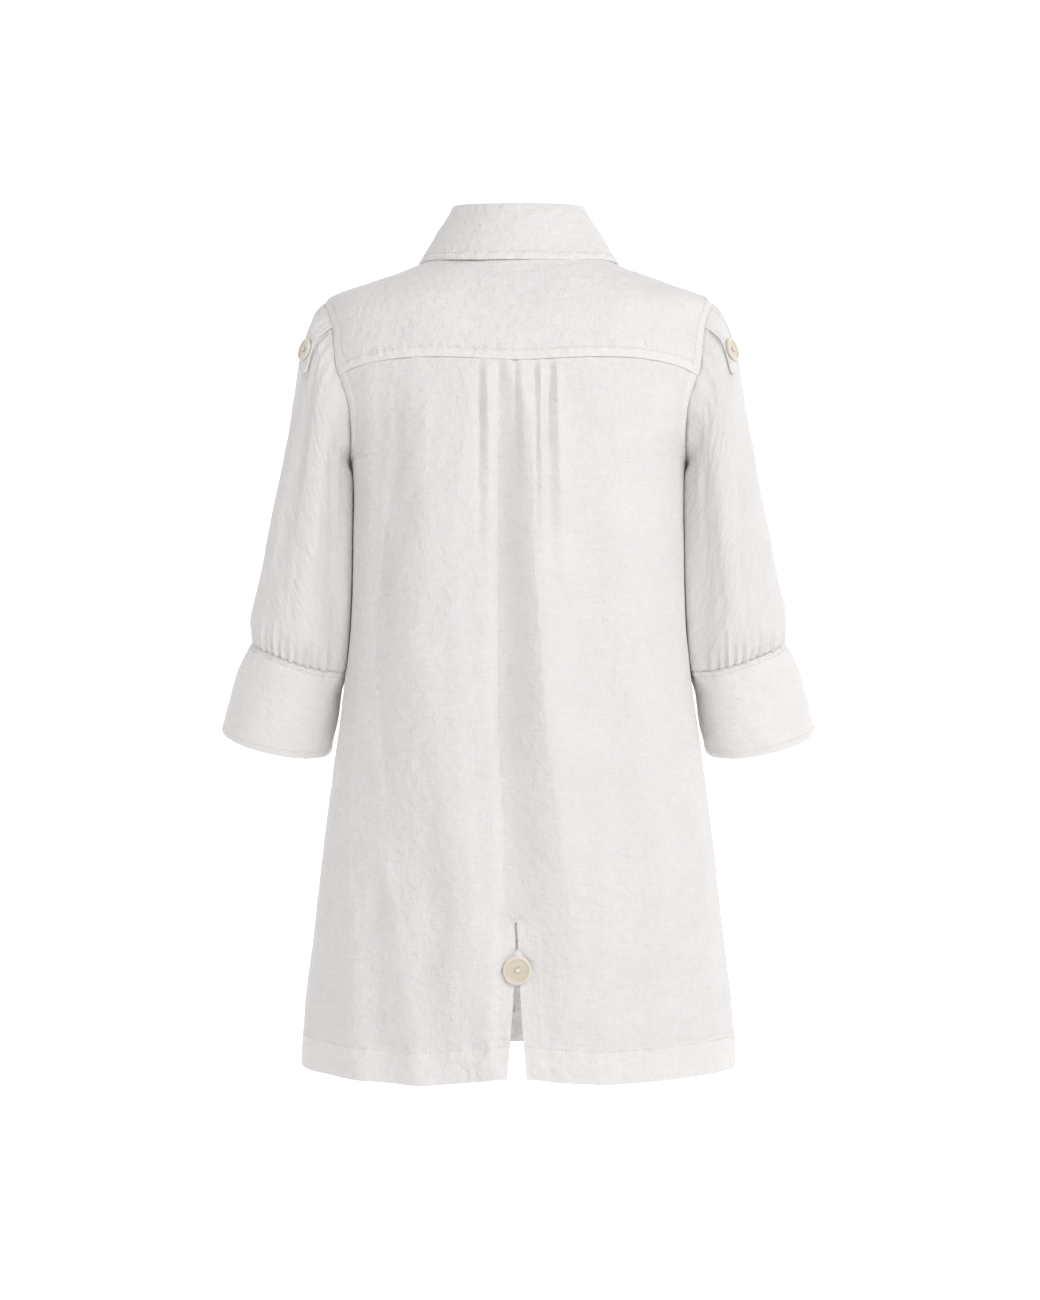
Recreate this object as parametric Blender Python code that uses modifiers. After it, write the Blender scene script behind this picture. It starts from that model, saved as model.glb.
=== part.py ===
"""Linen utility shirt, filled out as worn, seen from its back.

Metres, +Z up. The front of the shirt faces -Y and its back faces +Y; the wearer's left is +X.
The origin is where the neck and shoulders hold the shirt up.
Every piece is cut, placed and thickened from the tables below, whose sizes are in millimetres.
"""
import math

import bmesh
import bpy
import numpy as np
from mathutils import Vector

MM = 0.001
TURN = 2 * math.pi

# Cloth and seams
CLOTH = 1.2                 # thickness of the linen with its turned edges
SEAM_GAP = 0.36             # clear space between two pieces at a seam
ON_PANEL = 0.6              # clear space under a piece that lies on another

# Body: one row for each level, from the hem up to the neck seam
# side_z  half_width  back_y  back_z  front_y  front_z  squareness
BODY_ROWS = [
    (-813.5, 220.6, 130.0, -813.5, -128.0, -813.5, 2.15),
    (-750.0, 217.0, 129.0, -750.0, -127.0, -750.0, 2.15),
    (-668.0, 206.8, 127.0, -668.0, -125.0, -668.0, 2.2),
    (-586.0, 198.2, 124.5, -586.0, -123.0, -586.0, 2.2),
    (-505.0, 187.4, 121.5, -505.0, -121.5, -505.0, 2.25),
    (-432.0, 177.4, 118.5, -432.0, -121.0, -432.0, 2.3),
    (-362.0, 170.4, 116.5, -362.0, -123.0, -362.0, 2.3),
    (-290.0, 168.8, 116.5, -290.0, -127.0, -290.0, 2.35),
    (-205.0, 169.0, 118.0, -208.0, -127.0, -210.0, 2.4),
    (-152.0, 182.5, 118.0, -160.0, -121.0, -165.0, 2.4),
    (-105.0, 201.5, 115.5, -122.0, -115.5, -135.0, 2.4),
    (-66.5, 199.0, 112.0, -88.0, -113.0, -119.0, 2.4),
    (-36.5, 192.5, 104.5, -54.0, -110.0, -108.0, 2.35),
    (-21.5, 155.0, 95.0, -30.5, -106.0, -97.0, 2.25),
    (-8.5, 115.8, 84.0, -10.5, -99.0, -86.0, 2.15),
    (1.5, 90.0, 75.5, 4.0, -92.0, -77.0, 2.05),
    (9.5, 74.0, 68.0, 14.5, -85.0, -70.0, 2.0),
]
UNDERARM_ROW = 8.0
SHOULDER_ROW = 12.0
NECK_ROW = len(BODY_ROWS) - 1.0
SHOULDER_ROUNDING = 1.5     # how fast a level drops from the shoulder towards front and back

# Armhole, an oval seen from the side
ARMHOLE_TOP = -37.0
ARMHOLE_LOW = -202.0
ARMHOLE_BACK = 64.0
ARMHOLE_FRONT = -62.0
AROUND_ARM = 36             # points around the armhole, the sleeve and the cuff
ARM_STEPS = np.arange(AROUND_ARM) * TURN / AROUND_ARM

# Back yoke seam and the raised edge along it
YOKE_CENTRE_Z = -109.0
YOKE_RISE = 5.5             # how far the seam rises between its centre and its ends
YOKE_RELIEF = 0.5
PLEAT_PITCH = 4.0           # column spacing across the pleats
EDGE_CALM = 26.0            # folds die out this close to a side seam or armhole
FORWARD_SEAM_STEP = 3       # points the shoulder seam lies forward of the armhole's top
NECK_END_TURN = 0.12        # how much further forward it meets the neck, in radians

# Hem, button fronts and back vent
HEM_DEPTH = 34.0
HEM_RELIEF = 0.6
LAP = 15.0                  # each front passes the centre by this much
LAP_RAISE = 2.6
LAP_RAMP = (-34.0, -19.0)
PLACKET_RELIEF = 0.6
VENT_X = 1.5
VENT_TOP_Z = -657.0
VENT_HALF_TOP = 1.0
VENT_HALF_HEM = 9.6
VENT_OPENING = 1.6          # the slit stays narrow at first and then opens

# Pleats let into the yoke seam: they start at the seam and die out downwards
# seam_x  low_x  low_z  seam_width  low_width  depth
PLEATS = [
    (36.6, 38.0, -215.0, 4.6, 8.0, -5.0),
    (27.6, 29.0, -330.0, 4.4, 8.0, 3.4),
    (19.0, 17.5, -480.0, 4.2, 7.0, -5.2),
    (1.5, 0.5, -200.0, 4.2, 9.0, -4.6),
    (-14.1, -17.0, -330.0, 4.2, 6.5, -4.4),
    (-22.6, -27.0, -420.0, 4.4, 9.0, 3.8),
    (-30.7, -39.0, -350.0, 4.6, 7.5, -5.4),
]

# Soft folds of the back that run free of the seam
# top_x  top_z  low_x  low_z  top_width  low_width  depth
BACK_FOLDS = [
    (3.0, -120.0, -13.0, -700.0, 13.0, 27.0, -5.6),
    (-36.0, -260.0, -62.0, -830.0, 13.0, 26.0, 4.6),
    (34.0, -220.0, 42.0, -840.0, 13.0, 27.0, 5.0),
    (104.0, -140.0, 84.0, -700.0, 12.0, 22.0, -4.2),
    (148.0, -330.0, 92.0, -850.0, 13.0, 24.0, -5.2),
    (152.0, -150.0, 128.0, -820.0, 10.0, 24.0, 4.6),
    (-118.0, -170.0, -150.0, -840.0, 14.0, 28.0, 4.2),
    (-88.0, -200.0, -106.0, -840.0, 14.0, 26.0, -4.0),
    (-160.0, -180.0, -186.0, -840.0, 12.0, 24.0, -3.6),
    (176.0, -420.0, 190.0, -840.0, 14.0, 20.0, -3.6),
]
FRONT_FOLDS = [
    (46.0, -200.0, 52.0, -840.0, 16.0, 26.0, 3.6),
    (84.0, -180.0, 98.0, -830.0, 14.0, 24.0, -4.4),
    (122.0, -250.0, 150.0, -845.0, 14.0, 26.0, 4.4),
    (-56.0, -190.0, -62.0, -840.0, 15.0, 25.0, -3.8),
    (-92.0, -220.0, -112.0, -840.0, 14.0, 26.0, 4.6),
    (-140.0, -200.0, -164.0, -845.0, 12.0, 24.0, -4.2),
    (156.0, -300.0, 188.0, -835.0, 12.0, 22.0, -3.8),
]

# Sleeve: one row for each level below the armhole, given by its outer and inner edge
# outer_x  outer_z  inner_x  inner_z  middle_y  half_depth  back_drop  squareness
SLEEVE_ROWS = [
    (209.5, -53.0, 172.4, -209.0, 0.0, 67.0, 0.0, 2.0),
    (222.5, -92.0, 173.2, -222.0, -0.5, 67.0, 0.0, 2.05),
    (230.5, -140.0, 173.4, -244.0, -1.5, 64.5, 1.0, 2.1),
    (241.0, -199.0, 173.2, -272.0, -3.0, 61.5, 2.0, 2.15),
    (252.3, -258.0, 173.8, -303.0, -5.5, 59.0, 3.5, 2.15),
    (263.5, -313.0, 175.6, -342.0, -9.0, 57.5, 5.0, 2.15),
    (272.5, -356.0, 177.2, -381.0, -13.0, 56.0, 6.5, 2.1),
    (272.0, -383.0, 180.0, -413.5, -16.5, 50.5, 7.5, 2.05),
]
CUFF_ROWS = [
    (272.0, -383.5, 180.0, -414.0, -16.5, 50.0, 7.5, 2.05),
    (287.0, -412.0, 182.4, -441.0, -22.0, 51.5, 9.0, 2.0),
    (296.5, -443.0, 186.5, -469.0, -27.0, 53.5, 10.5, 2.0),
    (304.8, -474.8, 193.5, -498.5, -32.0, 55.5, 12.0, 2.0),
]
SLEEVE_LEVELS = (0, 0.45, 1, 1.6, 2.3, 3.2, 4.2, 5.2, 6, 6.8, 7.4, 8)
GATHER_DEPTH = 1.6
GATHER_LENGTH = 62.0
# Soft folds of a sleeve: angle from the outer edge towards the back, in degrees
# angle  top_z  low_z  width_deg  depth
SLEEVE_FOLDS = [
    (34.0, -150.0, -390.0, 13.0, 2.6),
    (62.0, -90.0, -330.0, 13.0, -3.2),
    (96.0, -180.0, -400.0, 14.0, 2.8),
    (128.0, -110.0, -380.0, 12.0, -3.0),
    (-40.0, -140.0, -390.0, 15.0, 2.6),
    (-74.0, -100.0, -340.0, 14.0, -3.2),
    (-112.0, -170.0, -395.0, 14.0, 2.4),
]

# Collar: one row for each ring, as on the body
STAND_ROWS = [
    (10.3, 74.0, 68.0, 15.3, -85.0, -69.0, 2.0),
    (32.0, 70.5, 65.5, 33.0, -81.0, -54.0, 2.0),
    (54.6, 65.6, 62.0, 49.0, -77.0, -38.0, 2.0),
]
FALL_ROWS = [
    (56.0, 65.8, 62.2, 50.6, -77.2, -36.4, 2.0),
    (58.2, 67.2, 64.0, 52.4, -79.0, -34.6, 2.0),
    (49.5, 71.8, 68.0, 48.0, -84.0, -38.5, 2.0),
    (30.0, 84.8, 76.5, 26.0, -94.0, -53.0, 2.05),
]
FALL_EDGE_ROW = 14.5       # level of the body where the turned-down edge lies
FALL_BACK_DROP = 0.3        # how much lower the edge hangs at the centre back
FALL_EDGE_LIFT = 3.0
FALL_POINT_ROW = 12.6
FALL_ROLL_OPEN = 6.0        # degrees left open at the centre front, at the roll
FALL_EDGE_OPEN = 30.0       # and at the outer edge
STAND_LAP = 8.5             # degrees that the stand passes the centre front

# Shoulder tabs, measured on the sleeve
TAB_ANGLE = 42.0
TAB_HALF_WIDTH = 14.5
TAB_START = 4.0
TAB_LENGTH = 63.5
TAB_POINT = 13.0
TAB_CLOTH = 1.4

# Vent tab, a small pointed strip bridging the slit
VENT_TAB_TOP_Z = -684.0
VENT_TAB_LENGTH = 30.0
VENT_TAB_POINT = 13.0
VENT_TAB_HALF_WIDTH = 10.5

# Buttons
VENT_BUTTON_RADIUS = 14.0
VENT_BUTTON_Z = -704.0
TAB_BUTTON_RADIUS = 11.8
TAB_BUTTON_FROM_TIP = 21.0
FRONT_BUTTON_RADIUS = 9.5
FRONT_BUTTON_TOP_Z = -105.0
FRONT_BUTTON_STEP = 92.0
FRONT_BUTTONS = 7
# Turned profile of a button: share of its radius, height above its underside
BUTTON_PROFILE = [(0.0, 1.5), (0.5, 1.6), (0.72, 1.9), (0.86, 2.9), (0.97, 2.6), (1.0, 1.4), (0.88, 0.2), (0.0, 0.0)]
BUTTON_SIDES = 12

COLLECTION = "utility_shirt"


def spline(rows, level):
    """Values of a table at fractional row numbers, on a smooth curve through its rows."""
    table = np.array(rows, float)
    level = np.clip(np.asarray(level, float), 0, len(table) - 1)
    base = np.minimum(level.astype(int), len(table) - 2)
    t = (level - base)[..., None]
    last = len(table) - 1
    before = table[np.maximum(base - 1, 0)]
    here = table[base]
    there = table[base + 1]
    after = table[np.minimum(base + 2, last)]
    start = (there - before) / 2
    end = (after - here) / 2
    square = t * t
    cube = square * t
    return ((2 * cube - 3 * square + 1) * here + (cube - 2 * square + t) * start
            + (3 * square - 2 * cube) * there + (cube - square) * end)


def ring(rows, angle, level):
    """Point of a rounded ring around the body; angle 0 is the wearer's left, a quarter turn the back."""
    side_z, half, back_y, back_z, front_y, front_z, squareness = np.moveaxis(spline(rows, level), -1, 0)
    across, along = np.cos(angle), np.sin(angle)
    power = 2 / squareness
    rear = along >= 0
    x = half * np.sign(across) * np.abs(across) ** power
    y = np.where(rear, back_y, front_y) * np.abs(along) ** power
    z = side_z + (np.where(rear, back_z, front_z) - side_z) * np.abs(along) ** SHOULDER_ROUNDING
    return np.stack([x, y, z], -1)


def body(angle, level):
    """Point of the body's outer surface before its folds."""
    angle, level = np.broadcast_arrays(angle, level)
    return ring(BODY_ROWS, angle, level)


def level_at(angle, height, low=0.0, high=NECK_ROW):
    """Row number at which the body stands at a height, at the given angles."""
    angle, height = np.broadcast_arrays(np.asarray(angle, float), np.asarray(height, float))
    below = np.full(angle.shape, low)
    above = np.full(angle.shape, high)
    for _ in range(40):
        middle = (below + above) / 2
        under = body(angle, middle)[..., 2] < height
        below = np.where(under, middle, below)
        above = np.where(under, above, middle)
    return (below + above) / 2


def angle_at(offset, level):
    """Angle from the centre front or back at which the body is that far from the centre plane."""
    row = spline(BODY_ROWS, level)
    share = np.abs(offset) / row[..., 1]
    return np.arcsin(np.clip(share, 0, 1) ** (row[..., 6] / 2)) * np.sign(offset)


def armhole(around):
    """Angle and level of the armhole's points: 0 is the shoulder, a quarter turn the back."""
    depth = np.where(np.sin(around) >= 0, ARMHOLE_BACK, -ARMHOLE_FRONT) * np.sin(around)
    height = (ARMHOLE_TOP + ARMHOLE_LOW) / 2 + (ARMHOLE_TOP - ARMHOLE_LOW) / 2 * np.cos(around)
    angle = np.zeros(around.shape)
    for _ in range(30):
        level = level_at(angle, height, UNDERARM_ROW - 1, SHOULDER_ROW + 0.6)
        row = spline(BODY_ROWS, level)
        reach = np.where(depth >= 0, row[..., 2], -row[..., 4])
        angle = np.sign(depth) * np.arcsin(np.clip(np.abs(depth) / reach, 0, 1) ** (row[..., 6] / 2))
    return angle, level


def smooth_step(value, low, high):
    """0 below low, 1 above high and a soft step between."""
    share = np.clip((value - low) / (high - low), 0, 1)
    return share * share * (3 - 2 * share)


def pleats(x, z):
    """Height of the pleats under the yoke seam."""
    total = np.zeros(np.shape(x))
    for seam_x, low_x, low_z, seam_width, low_width, depth in PLEATS:
        share = np.clip((YOKE_CENTRE_Z - z) / (YOKE_CENTRE_Z - low_z), 0, 1)
        middle = seam_x + (low_x - seam_x) * share
        width = seam_width + (low_width - seam_width) * share
        total = total + depth * (1 - share) ** 0.8 * np.exp(-((x - middle) / width) ** 2)
    return total


def folds(table, x, z):
    """Height of soft folds that die out at both ends, or run out through the hem."""
    total = np.zeros(np.shape(x))
    for top_x, top_z, low_x, low_z, top_width, low_width, depth in table:
        share = np.clip((top_z - z) / (top_z - low_z), 0, 1)
        middle = top_x + (low_x - top_x) * share
        width = top_width + (low_width - top_width) * share
        fade = smooth_step(share, 0, 0.45) * (1 - smooth_step(share, 0.8, 1.15))
        total = total + depth * fade * np.exp(-((x - middle) / width) ** 2)
    return total


def normals(grid, closed=False):
    """Unit normals of a grid of points; columns run round the piece and rows run up it."""
    if closed:
        wide = np.concatenate([grid[:, -1:], grid, grid[:, :1]], 1)
        across = wide[:, 2:] - wide[:, :-2]
    else:
        across = np.gradient(grid, axis=1)
    normal = np.cross(across, np.gradient(grid, axis=0))
    return normal / np.maximum(np.linalg.norm(normal, axis=-1, keepdims=True), 1e-9)


def level_direction(normal):
    """Unit normals turned level, for a piece that laps over another."""
    flat = normal * np.array([1.0, 1.0, 0.0])
    return flat / np.maximum(np.linalg.norm(flat, axis=-1, keepdims=True), 1e-9)


def pull_in(outer, inner, edges, distance=SEAM_GAP / 2):
    """Moves the named edges of a panel in, so that two panels leave a gap at their seam."""
    moves = {"low": (np.s_[0], np.s_[1]), "top": (np.s_[-1], np.s_[-2]),
             "first": (np.s_[:, 0], np.s_[:, 1]), "last": (np.s_[:, -1], np.s_[:, -2])}
    for edge in edges:
        here, inside = moves[edge]
        step = outer[inside] - outer[here]
        step = step / np.maximum(np.linalg.norm(step, axis=-1, keepdims=True), 1e-9) * distance
        outer[here] += step
        inner[here] += step


def material(name, colour, roughness):
    """Plain material of one piece."""
    made = bpy.data.materials.new(name)
    made.use_nodes = True
    shader = made.node_tree.nodes["Principled BSDF"]
    shader.inputs["Base Color"].default_value = (*colour, 1.0)
    shader.inputs["Roughness"].default_value = roughness
    return made


def place(name, mesh, colour, roughness):
    """Adds a mesh as a named object with a material of its own."""
    piece = bpy.data.objects.new(name, mesh)
    mesh.materials.append(material(name, colour, roughness))
    shirt.objects.link(piece)
    return piece


def wall(name, outer, inner, closed=False, slit=None):
    """Closed wall of cloth between an outer and an inner grid of points, in millimetres.

    closed joins the last column to the first. slit is (column, rows): up to that many rows
    the two columns from that one on are the edges of a slit, and above it they are one.
    """
    rows, columns = outer.shape[:2]
    made = bmesh.new()
    sides = []
    for grid in (outer, inner):
        points = [[made.verts.new(grid[r, c] * MM) for c in range(columns)] for r in range(rows)]
        if slit:
            column, open_rows = slit
            for r in range(open_rows, rows):
                made.verts.remove(points[r][column + 1])
                points[r][column + 1] = points[r][column]
        sides.append(points)
    out, back = sides
    partner = {out[r][c]: back[r][c] for r in range(rows) for c in range(columns)}
    for r in range(rows - 1):
        for c in range(columns if closed else columns - 1):
            if slit and c == slit[0]:
                continue
            n = (c + 1) % columns
            corners = [out[r][c], out[r][n], out[r + 1][n], out[r + 1][c]]
            made.faces.new(corners)
    rim = [edge for edge in made.edges if len(edge.link_faces) == 1]
    for face in list(made.faces):
        made.faces.new([partner[vertex] for vertex in reversed(face.verts)])
    for edge in rim:
        a, b = edge.verts
        made.faces.new([a, b, partner[b], partner[a]])
    bmesh.ops.recalc_face_normals(made, faces=made.faces)
    mesh = bpy.data.meshes.new(name)
    made.to_mesh(mesh)
    made.free()
    mesh.shade_smooth()
    return place(name, mesh, LINEN, 0.85)


def mirrored(grid):
    """The same grid on the wearer's right."""
    flipped = grid[:, ::-1].copy()
    flipped[..., 0] *= -1
    return flipped


def back_seam_height(share):
    """Height of the yoke seam, from its centre (0) to the armhole (1 or -1)."""
    ends = (ARMHOLE_TOP + ARMHOLE_LOW) / 2
    share = np.abs(share)
    return YOKE_CENTRE_Z + YOKE_RISE * np.sin(math.pi * share) * (1 - share * 0.3) + (ends - YOKE_CENTRE_Z) * share ** 3


def hem_relief(z):
    """Height of the turned-up hem over the panel."""
    return HEM_RELIEF * (z < BODY_ROWS[0][0] + HEM_DEPTH)


def panel_levels(edge_levels):
    """Row numbers of a panel: the hem band, the plain stretch and then the armhole's own points."""
    hem_line = BODY_ROWS[0][0] + HEM_DEPTH
    plain = [FRONT_BUTTON_TOP_Z - FRONT_BUTTON_STEP * number for number in (5, 4, 3, 2)]
    plain = [-740.0, -700.0, VENT_TOP_Z] + plain + [-243.0]
    heights = [BODY_ROWS[0][0], hem_line - 0.5, hem_line + 0.5, *plain]
    levels = [float(level_at(0.0, height)) for height in heights]
    return np.array(levels + list(edge_levels))


def back_panel():
    """Back, in one piece from side seam to side seam, with its pleats and its vent."""
    hole_angle, hole_level = armhole(ARM_STEPS)
    quarter, half = AROUND_ARM // 4, AROUND_ARM // 2
    edge_levels = hole_level[quarter:half + 1][::-1]
    levels = panel_levels(edge_levels)
    edges = np.concatenate([np.zeros(len(levels) - len(edge_levels)), hole_angle[quarter:half + 1][::-1]])
    steps = np.arange(12, 0, -1)
    centre = VENT_X + PLEAT_PITCH * np.concatenate([steps, [0, 0], -steps[::-1]])
    sides = np.array([0.0, 0.16, 0.33, 0.5, 0.66, 0.83])
    slit = len(sides) + len(steps)
    below = level_at(0.0, ARMHOLE_LOW - 30)
    base = np.zeros((len(levels), 2 * len(sides) + len(centre), 3))
    for r, (level, edge) in enumerate(zip(levels, edges)):
        middle = math.pi / 2 - angle_at(centre, level)
        left = edge + (middle[0] - edge) * sides
        right = math.pi - edge + (middle[-1] - math.pi + edge) * sides[::-1]
        angle = np.concatenate([left, middle, right])
        climb = np.clip((level - below) / (levels[-1] - below), 0, 1)
        top = level_at(angle, back_seam_height((angle - math.pi / 2) / (math.pi / 2 - edge)))
        base[r] = body(angle, level + (top - levels[-1]) * climb)
    normal = normals(base)
    x, z = base[..., 0], base[..., 2]
    from_edge = np.minimum(np.abs(x - x[:, :1]), np.abs(x - x[:, -1:]))
    fold = (pleats(x, z) + folds(BACK_FOLDS, x, z)) * smooth_step(from_edge, 0, EDGE_CALM)
    outer = base + normal * (fold + hem_relief(z))[..., None]
    inner = base + normal * (fold - CLOTH)[..., None]
    open_rows = int(np.sum(z[:, slit] < VENT_TOP_Z - 1))
    for r in range(open_rows):
        share = (VENT_TOP_Z - z[r, slit]) / (VENT_TOP_Z - BODY_ROWS[0][0])
        reach = VENT_HALF_TOP + (VENT_HALF_HEM - VENT_HALF_TOP) * share ** VENT_OPENING
        for step, part in enumerate((1.0, 0.67, 0.33)):
            for grid in (outer, inner):
                grid[r, slit - step, 0] += reach * part
                grid[r, slit + 1 + step, 0] -= reach * part
    pull_in(outer, inner, ("top", "first", "last"))
    wall("back_panel", outer, inner, slit=(slit, open_rows))


def yoke():
    """Back yoke: its lower edge is the pleated seam, its ends climb the armholes and the forward seams."""
    quarter = AROUND_ARM // 4
    climb = np.arange(quarter, -FORWARD_SEAM_STEP - 1, -1) * TURN / AROUND_ARM
    edge_angle, edge_level = armhole(climb)
    shoulder = np.linspace(0, 1, 5)[1:]
    neck_end = edge_angle[-1] - NECK_END_TURN
    edge_angle = np.concatenate([edge_angle, edge_angle[-1] + (neck_end - edge_angle[-1]) * shoulder])
    edge_level = np.concatenate([edge_level, edge_level[-1] + (NECK_ROW - edge_level[-1]) * shoulder])
    across = np.linspace(-1, 1, 23)
    rows = len(edge_angle)
    centre_start = float(level_at(math.pi / 2, YOKE_CENTRE_Z))
    base = np.zeros((rows, len(across), 3))
    for r in range(rows):
        share = r / (rows - 1)
        angle = math.pi / 2 + (math.pi / 2 - edge_angle[r]) * across
        centre = centre_start + (NECK_ROW - centre_start) * share ** 0.8
        level = centre + (edge_level[r] - centre) * np.abs(across) ** (2.0 + share)
        if r == 0:
            level = level_at(angle, back_seam_height(across))
        base[r] = body(angle, level)
    normal = normals(base)
    normal *= np.sign(normal[1, len(across) // 2, 1])
    relief = np.where(np.arange(rows) <= 1, YOKE_RELIEF, 0.0)[:, None, None]
    outer = base + normal * relief
    inner = base - normal * CLOTH
    pull_in(outer, inner, ("low", "top", "first", "last"))
    wall("back_yoke", outer, inner)
    return neck_end


def front_panel(name, lapped, neck_start):
    """One front, from the side seam, the armhole and the forward seam to its button edge."""
    hole_angle, hole_level = armhole(ARM_STEPS)
    half = AROUND_ARM // 2
    stops = list(range(half, AROUND_ARM - FORWARD_SEAM_STEP + 1))
    edge_angle = list(hole_angle[stops])
    edge_angle[0] = 0.0
    edge_level = list(hole_level[stops])
    levels = panel_levels(edge_level)
    edges = np.array([0.0] * (len(levels) - len(edge_level)) + edge_angle)
    shoulder = np.linspace(0, 1, 5)[1:]
    levels = np.concatenate([levels, levels[-1] + (NECK_ROW - levels[-1]) * shoulder])
    edges = np.concatenate([edges, edges[-1] + (neck_start - edges[-1]) * shoulder])
    band = np.array([LAP, 0.0, -LAP, -LAP - 1.0, -34.0])
    out = np.array([0.0, 0.12, 0.26, 0.41, 0.57, 0.72, 0.86])
    base = np.zeros((len(levels), len(out) + len(band), 3))
    for r, (level, edge) in enumerate(zip(levels, edges)):
        strip = -math.pi / 2 + angle_at(-band, level)
        angle = np.concatenate([edge + (strip[-1] - edge) * out, strip[::-1]])
        base[r] = body(angle, level)
    normal = -normals(base)
    x, z = base[..., 0], base[..., 2]
    mirror = -1 if lapped else 1
    near_edge = np.abs(x - x[:, :1])
    neck_fade = 1 - smooth_step(z, -240, -150)
    fold = folds(FRONT_FOLDS, x * mirror, z) * smooth_step(near_edge, 0, EDGE_CALM) * neck_fade
    fold = fold * smooth_step(np.abs(x), LAP + 2, LAP + 24)
    lap = LAP_RAISE * smooth_step(-x, *LAP_RAMP) if lapped else 0.0
    placket = PLACKET_RELIEF * (x < LAP + 0.5) if lapped else 0.0
    raised = base + level_direction(normal) * np.asarray(lap)[..., None]
    outer = raised + normal * (fold + hem_relief(z) + placket)[..., None]
    inner = raised + normal * (fold - CLOTH)[..., None]
    pull_in(outer, inner, ("top", "first"))
    if lapped:
        outer, inner = mirrored(outer), mirrored(inner)
    wall(name, outer, inner)


def arm_rings(rows, around):
    """Rings of a sleeve or cuff: the outer edge is at 0, the back at a quarter turn."""
    rings = []
    for outer_x, outer_z, inner_x, inner_z, middle_y, half_depth, back_drop, squareness in rows:
        power = 2 / squareness
        reach = np.sign(np.cos(around)) * np.abs(np.cos(around)) ** power
        depth = np.sign(np.sin(around)) * np.abs(np.sin(around)) ** power
        x = (outer_x + inner_x) / 2 + (outer_x - inner_x) / 2 * reach
        z = (outer_z + inner_z) / 2 + (outer_z - inner_z) / 2 * reach - back_drop * depth
        rings.append(np.stack([x, middle_y + half_depth * depth, z], -1))
    return rings


def sleeve_surface(around, levels):
    """Smooth outer surface of the left sleeve at the given levels, armhole first."""
    angle, level = armhole(around)
    rings = np.array([body(angle, level)] + arm_rings(SLEEVE_ROWS, around))
    flat = rings.reshape(len(rings), -1)
    return spline(flat, np.array(levels)).reshape(len(levels), len(around), 3)


def sleeve_folds(grid, around):
    """Height of a sleeve's soft folds and of the gathers above its cuff, two points to each gather."""
    z = grid[..., 2]
    degrees = np.degrees(around)[None, :]
    total = np.zeros(z.shape)
    for angle, top_z, low_z, width, depth in SLEEVE_FOLDS:
        share = np.clip((top_z - z) / (top_z - low_z), 0, 1)
        apart = (degrees - angle + 180) % 360 - 180
        total += depth * np.sin(math.pi * share) * np.exp(-(apart / width) ** 2)
    inside = smooth_step(np.cos(around), -0.95, -0.6)[None, :]
    above = grid[..., 2] - grid[-1:, :, 2]
    gather = np.cos(around * AROUND_ARM / 2)[None, :] * GATHER_DEPTH
    return total * inside + gather * (1 - smooth_step(above, 4, GATHER_LENGTH)) * (0.35 + 0.65 * inside)


def sleeves_and_cuffs():
    """Both sleeves, gathered into their flared cuffs."""
    around = ARM_STEPS
    base = sleeve_surface(around, SLEEVE_LEVELS)
    normal = normals(base, closed=True)
    normal = normal * np.sign(normal[5, 0, 0])
    fold = sleeve_folds(base, around)[..., None]
    fold[0] = 0
    outer = base + normal * fold
    inner = base + normal * (fold - CLOTH)
    first = base[1] - base[0]
    first = first / np.linalg.norm(first, axis=-1, keepdims=True) * SEAM_GAP
    outer[0] += first
    inner[0] += first
    pull_in(outer, inner, ("top",))
    rings = np.array(arm_rings(CUFF_ROWS, around))
    cuff_normal = normals(rings, closed=True)
    cuff_normal = cuff_normal * np.sign(cuff_normal[1, 0, 0])
    cuff_inner = rings - cuff_normal * CLOTH
    pull_in(rings, cuff_inner, ("low",))
    for side in ("left", "right"):
        grids = [outer, inner, rings, cuff_inner]
        if side == "right":
            grids = [mirrored(grid) for grid in grids]
        wall("sleeve_" + side, grids[0], grids[1], closed=True)
        wall("cuff_" + side, grids[2], grids[3], closed=True)


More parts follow.
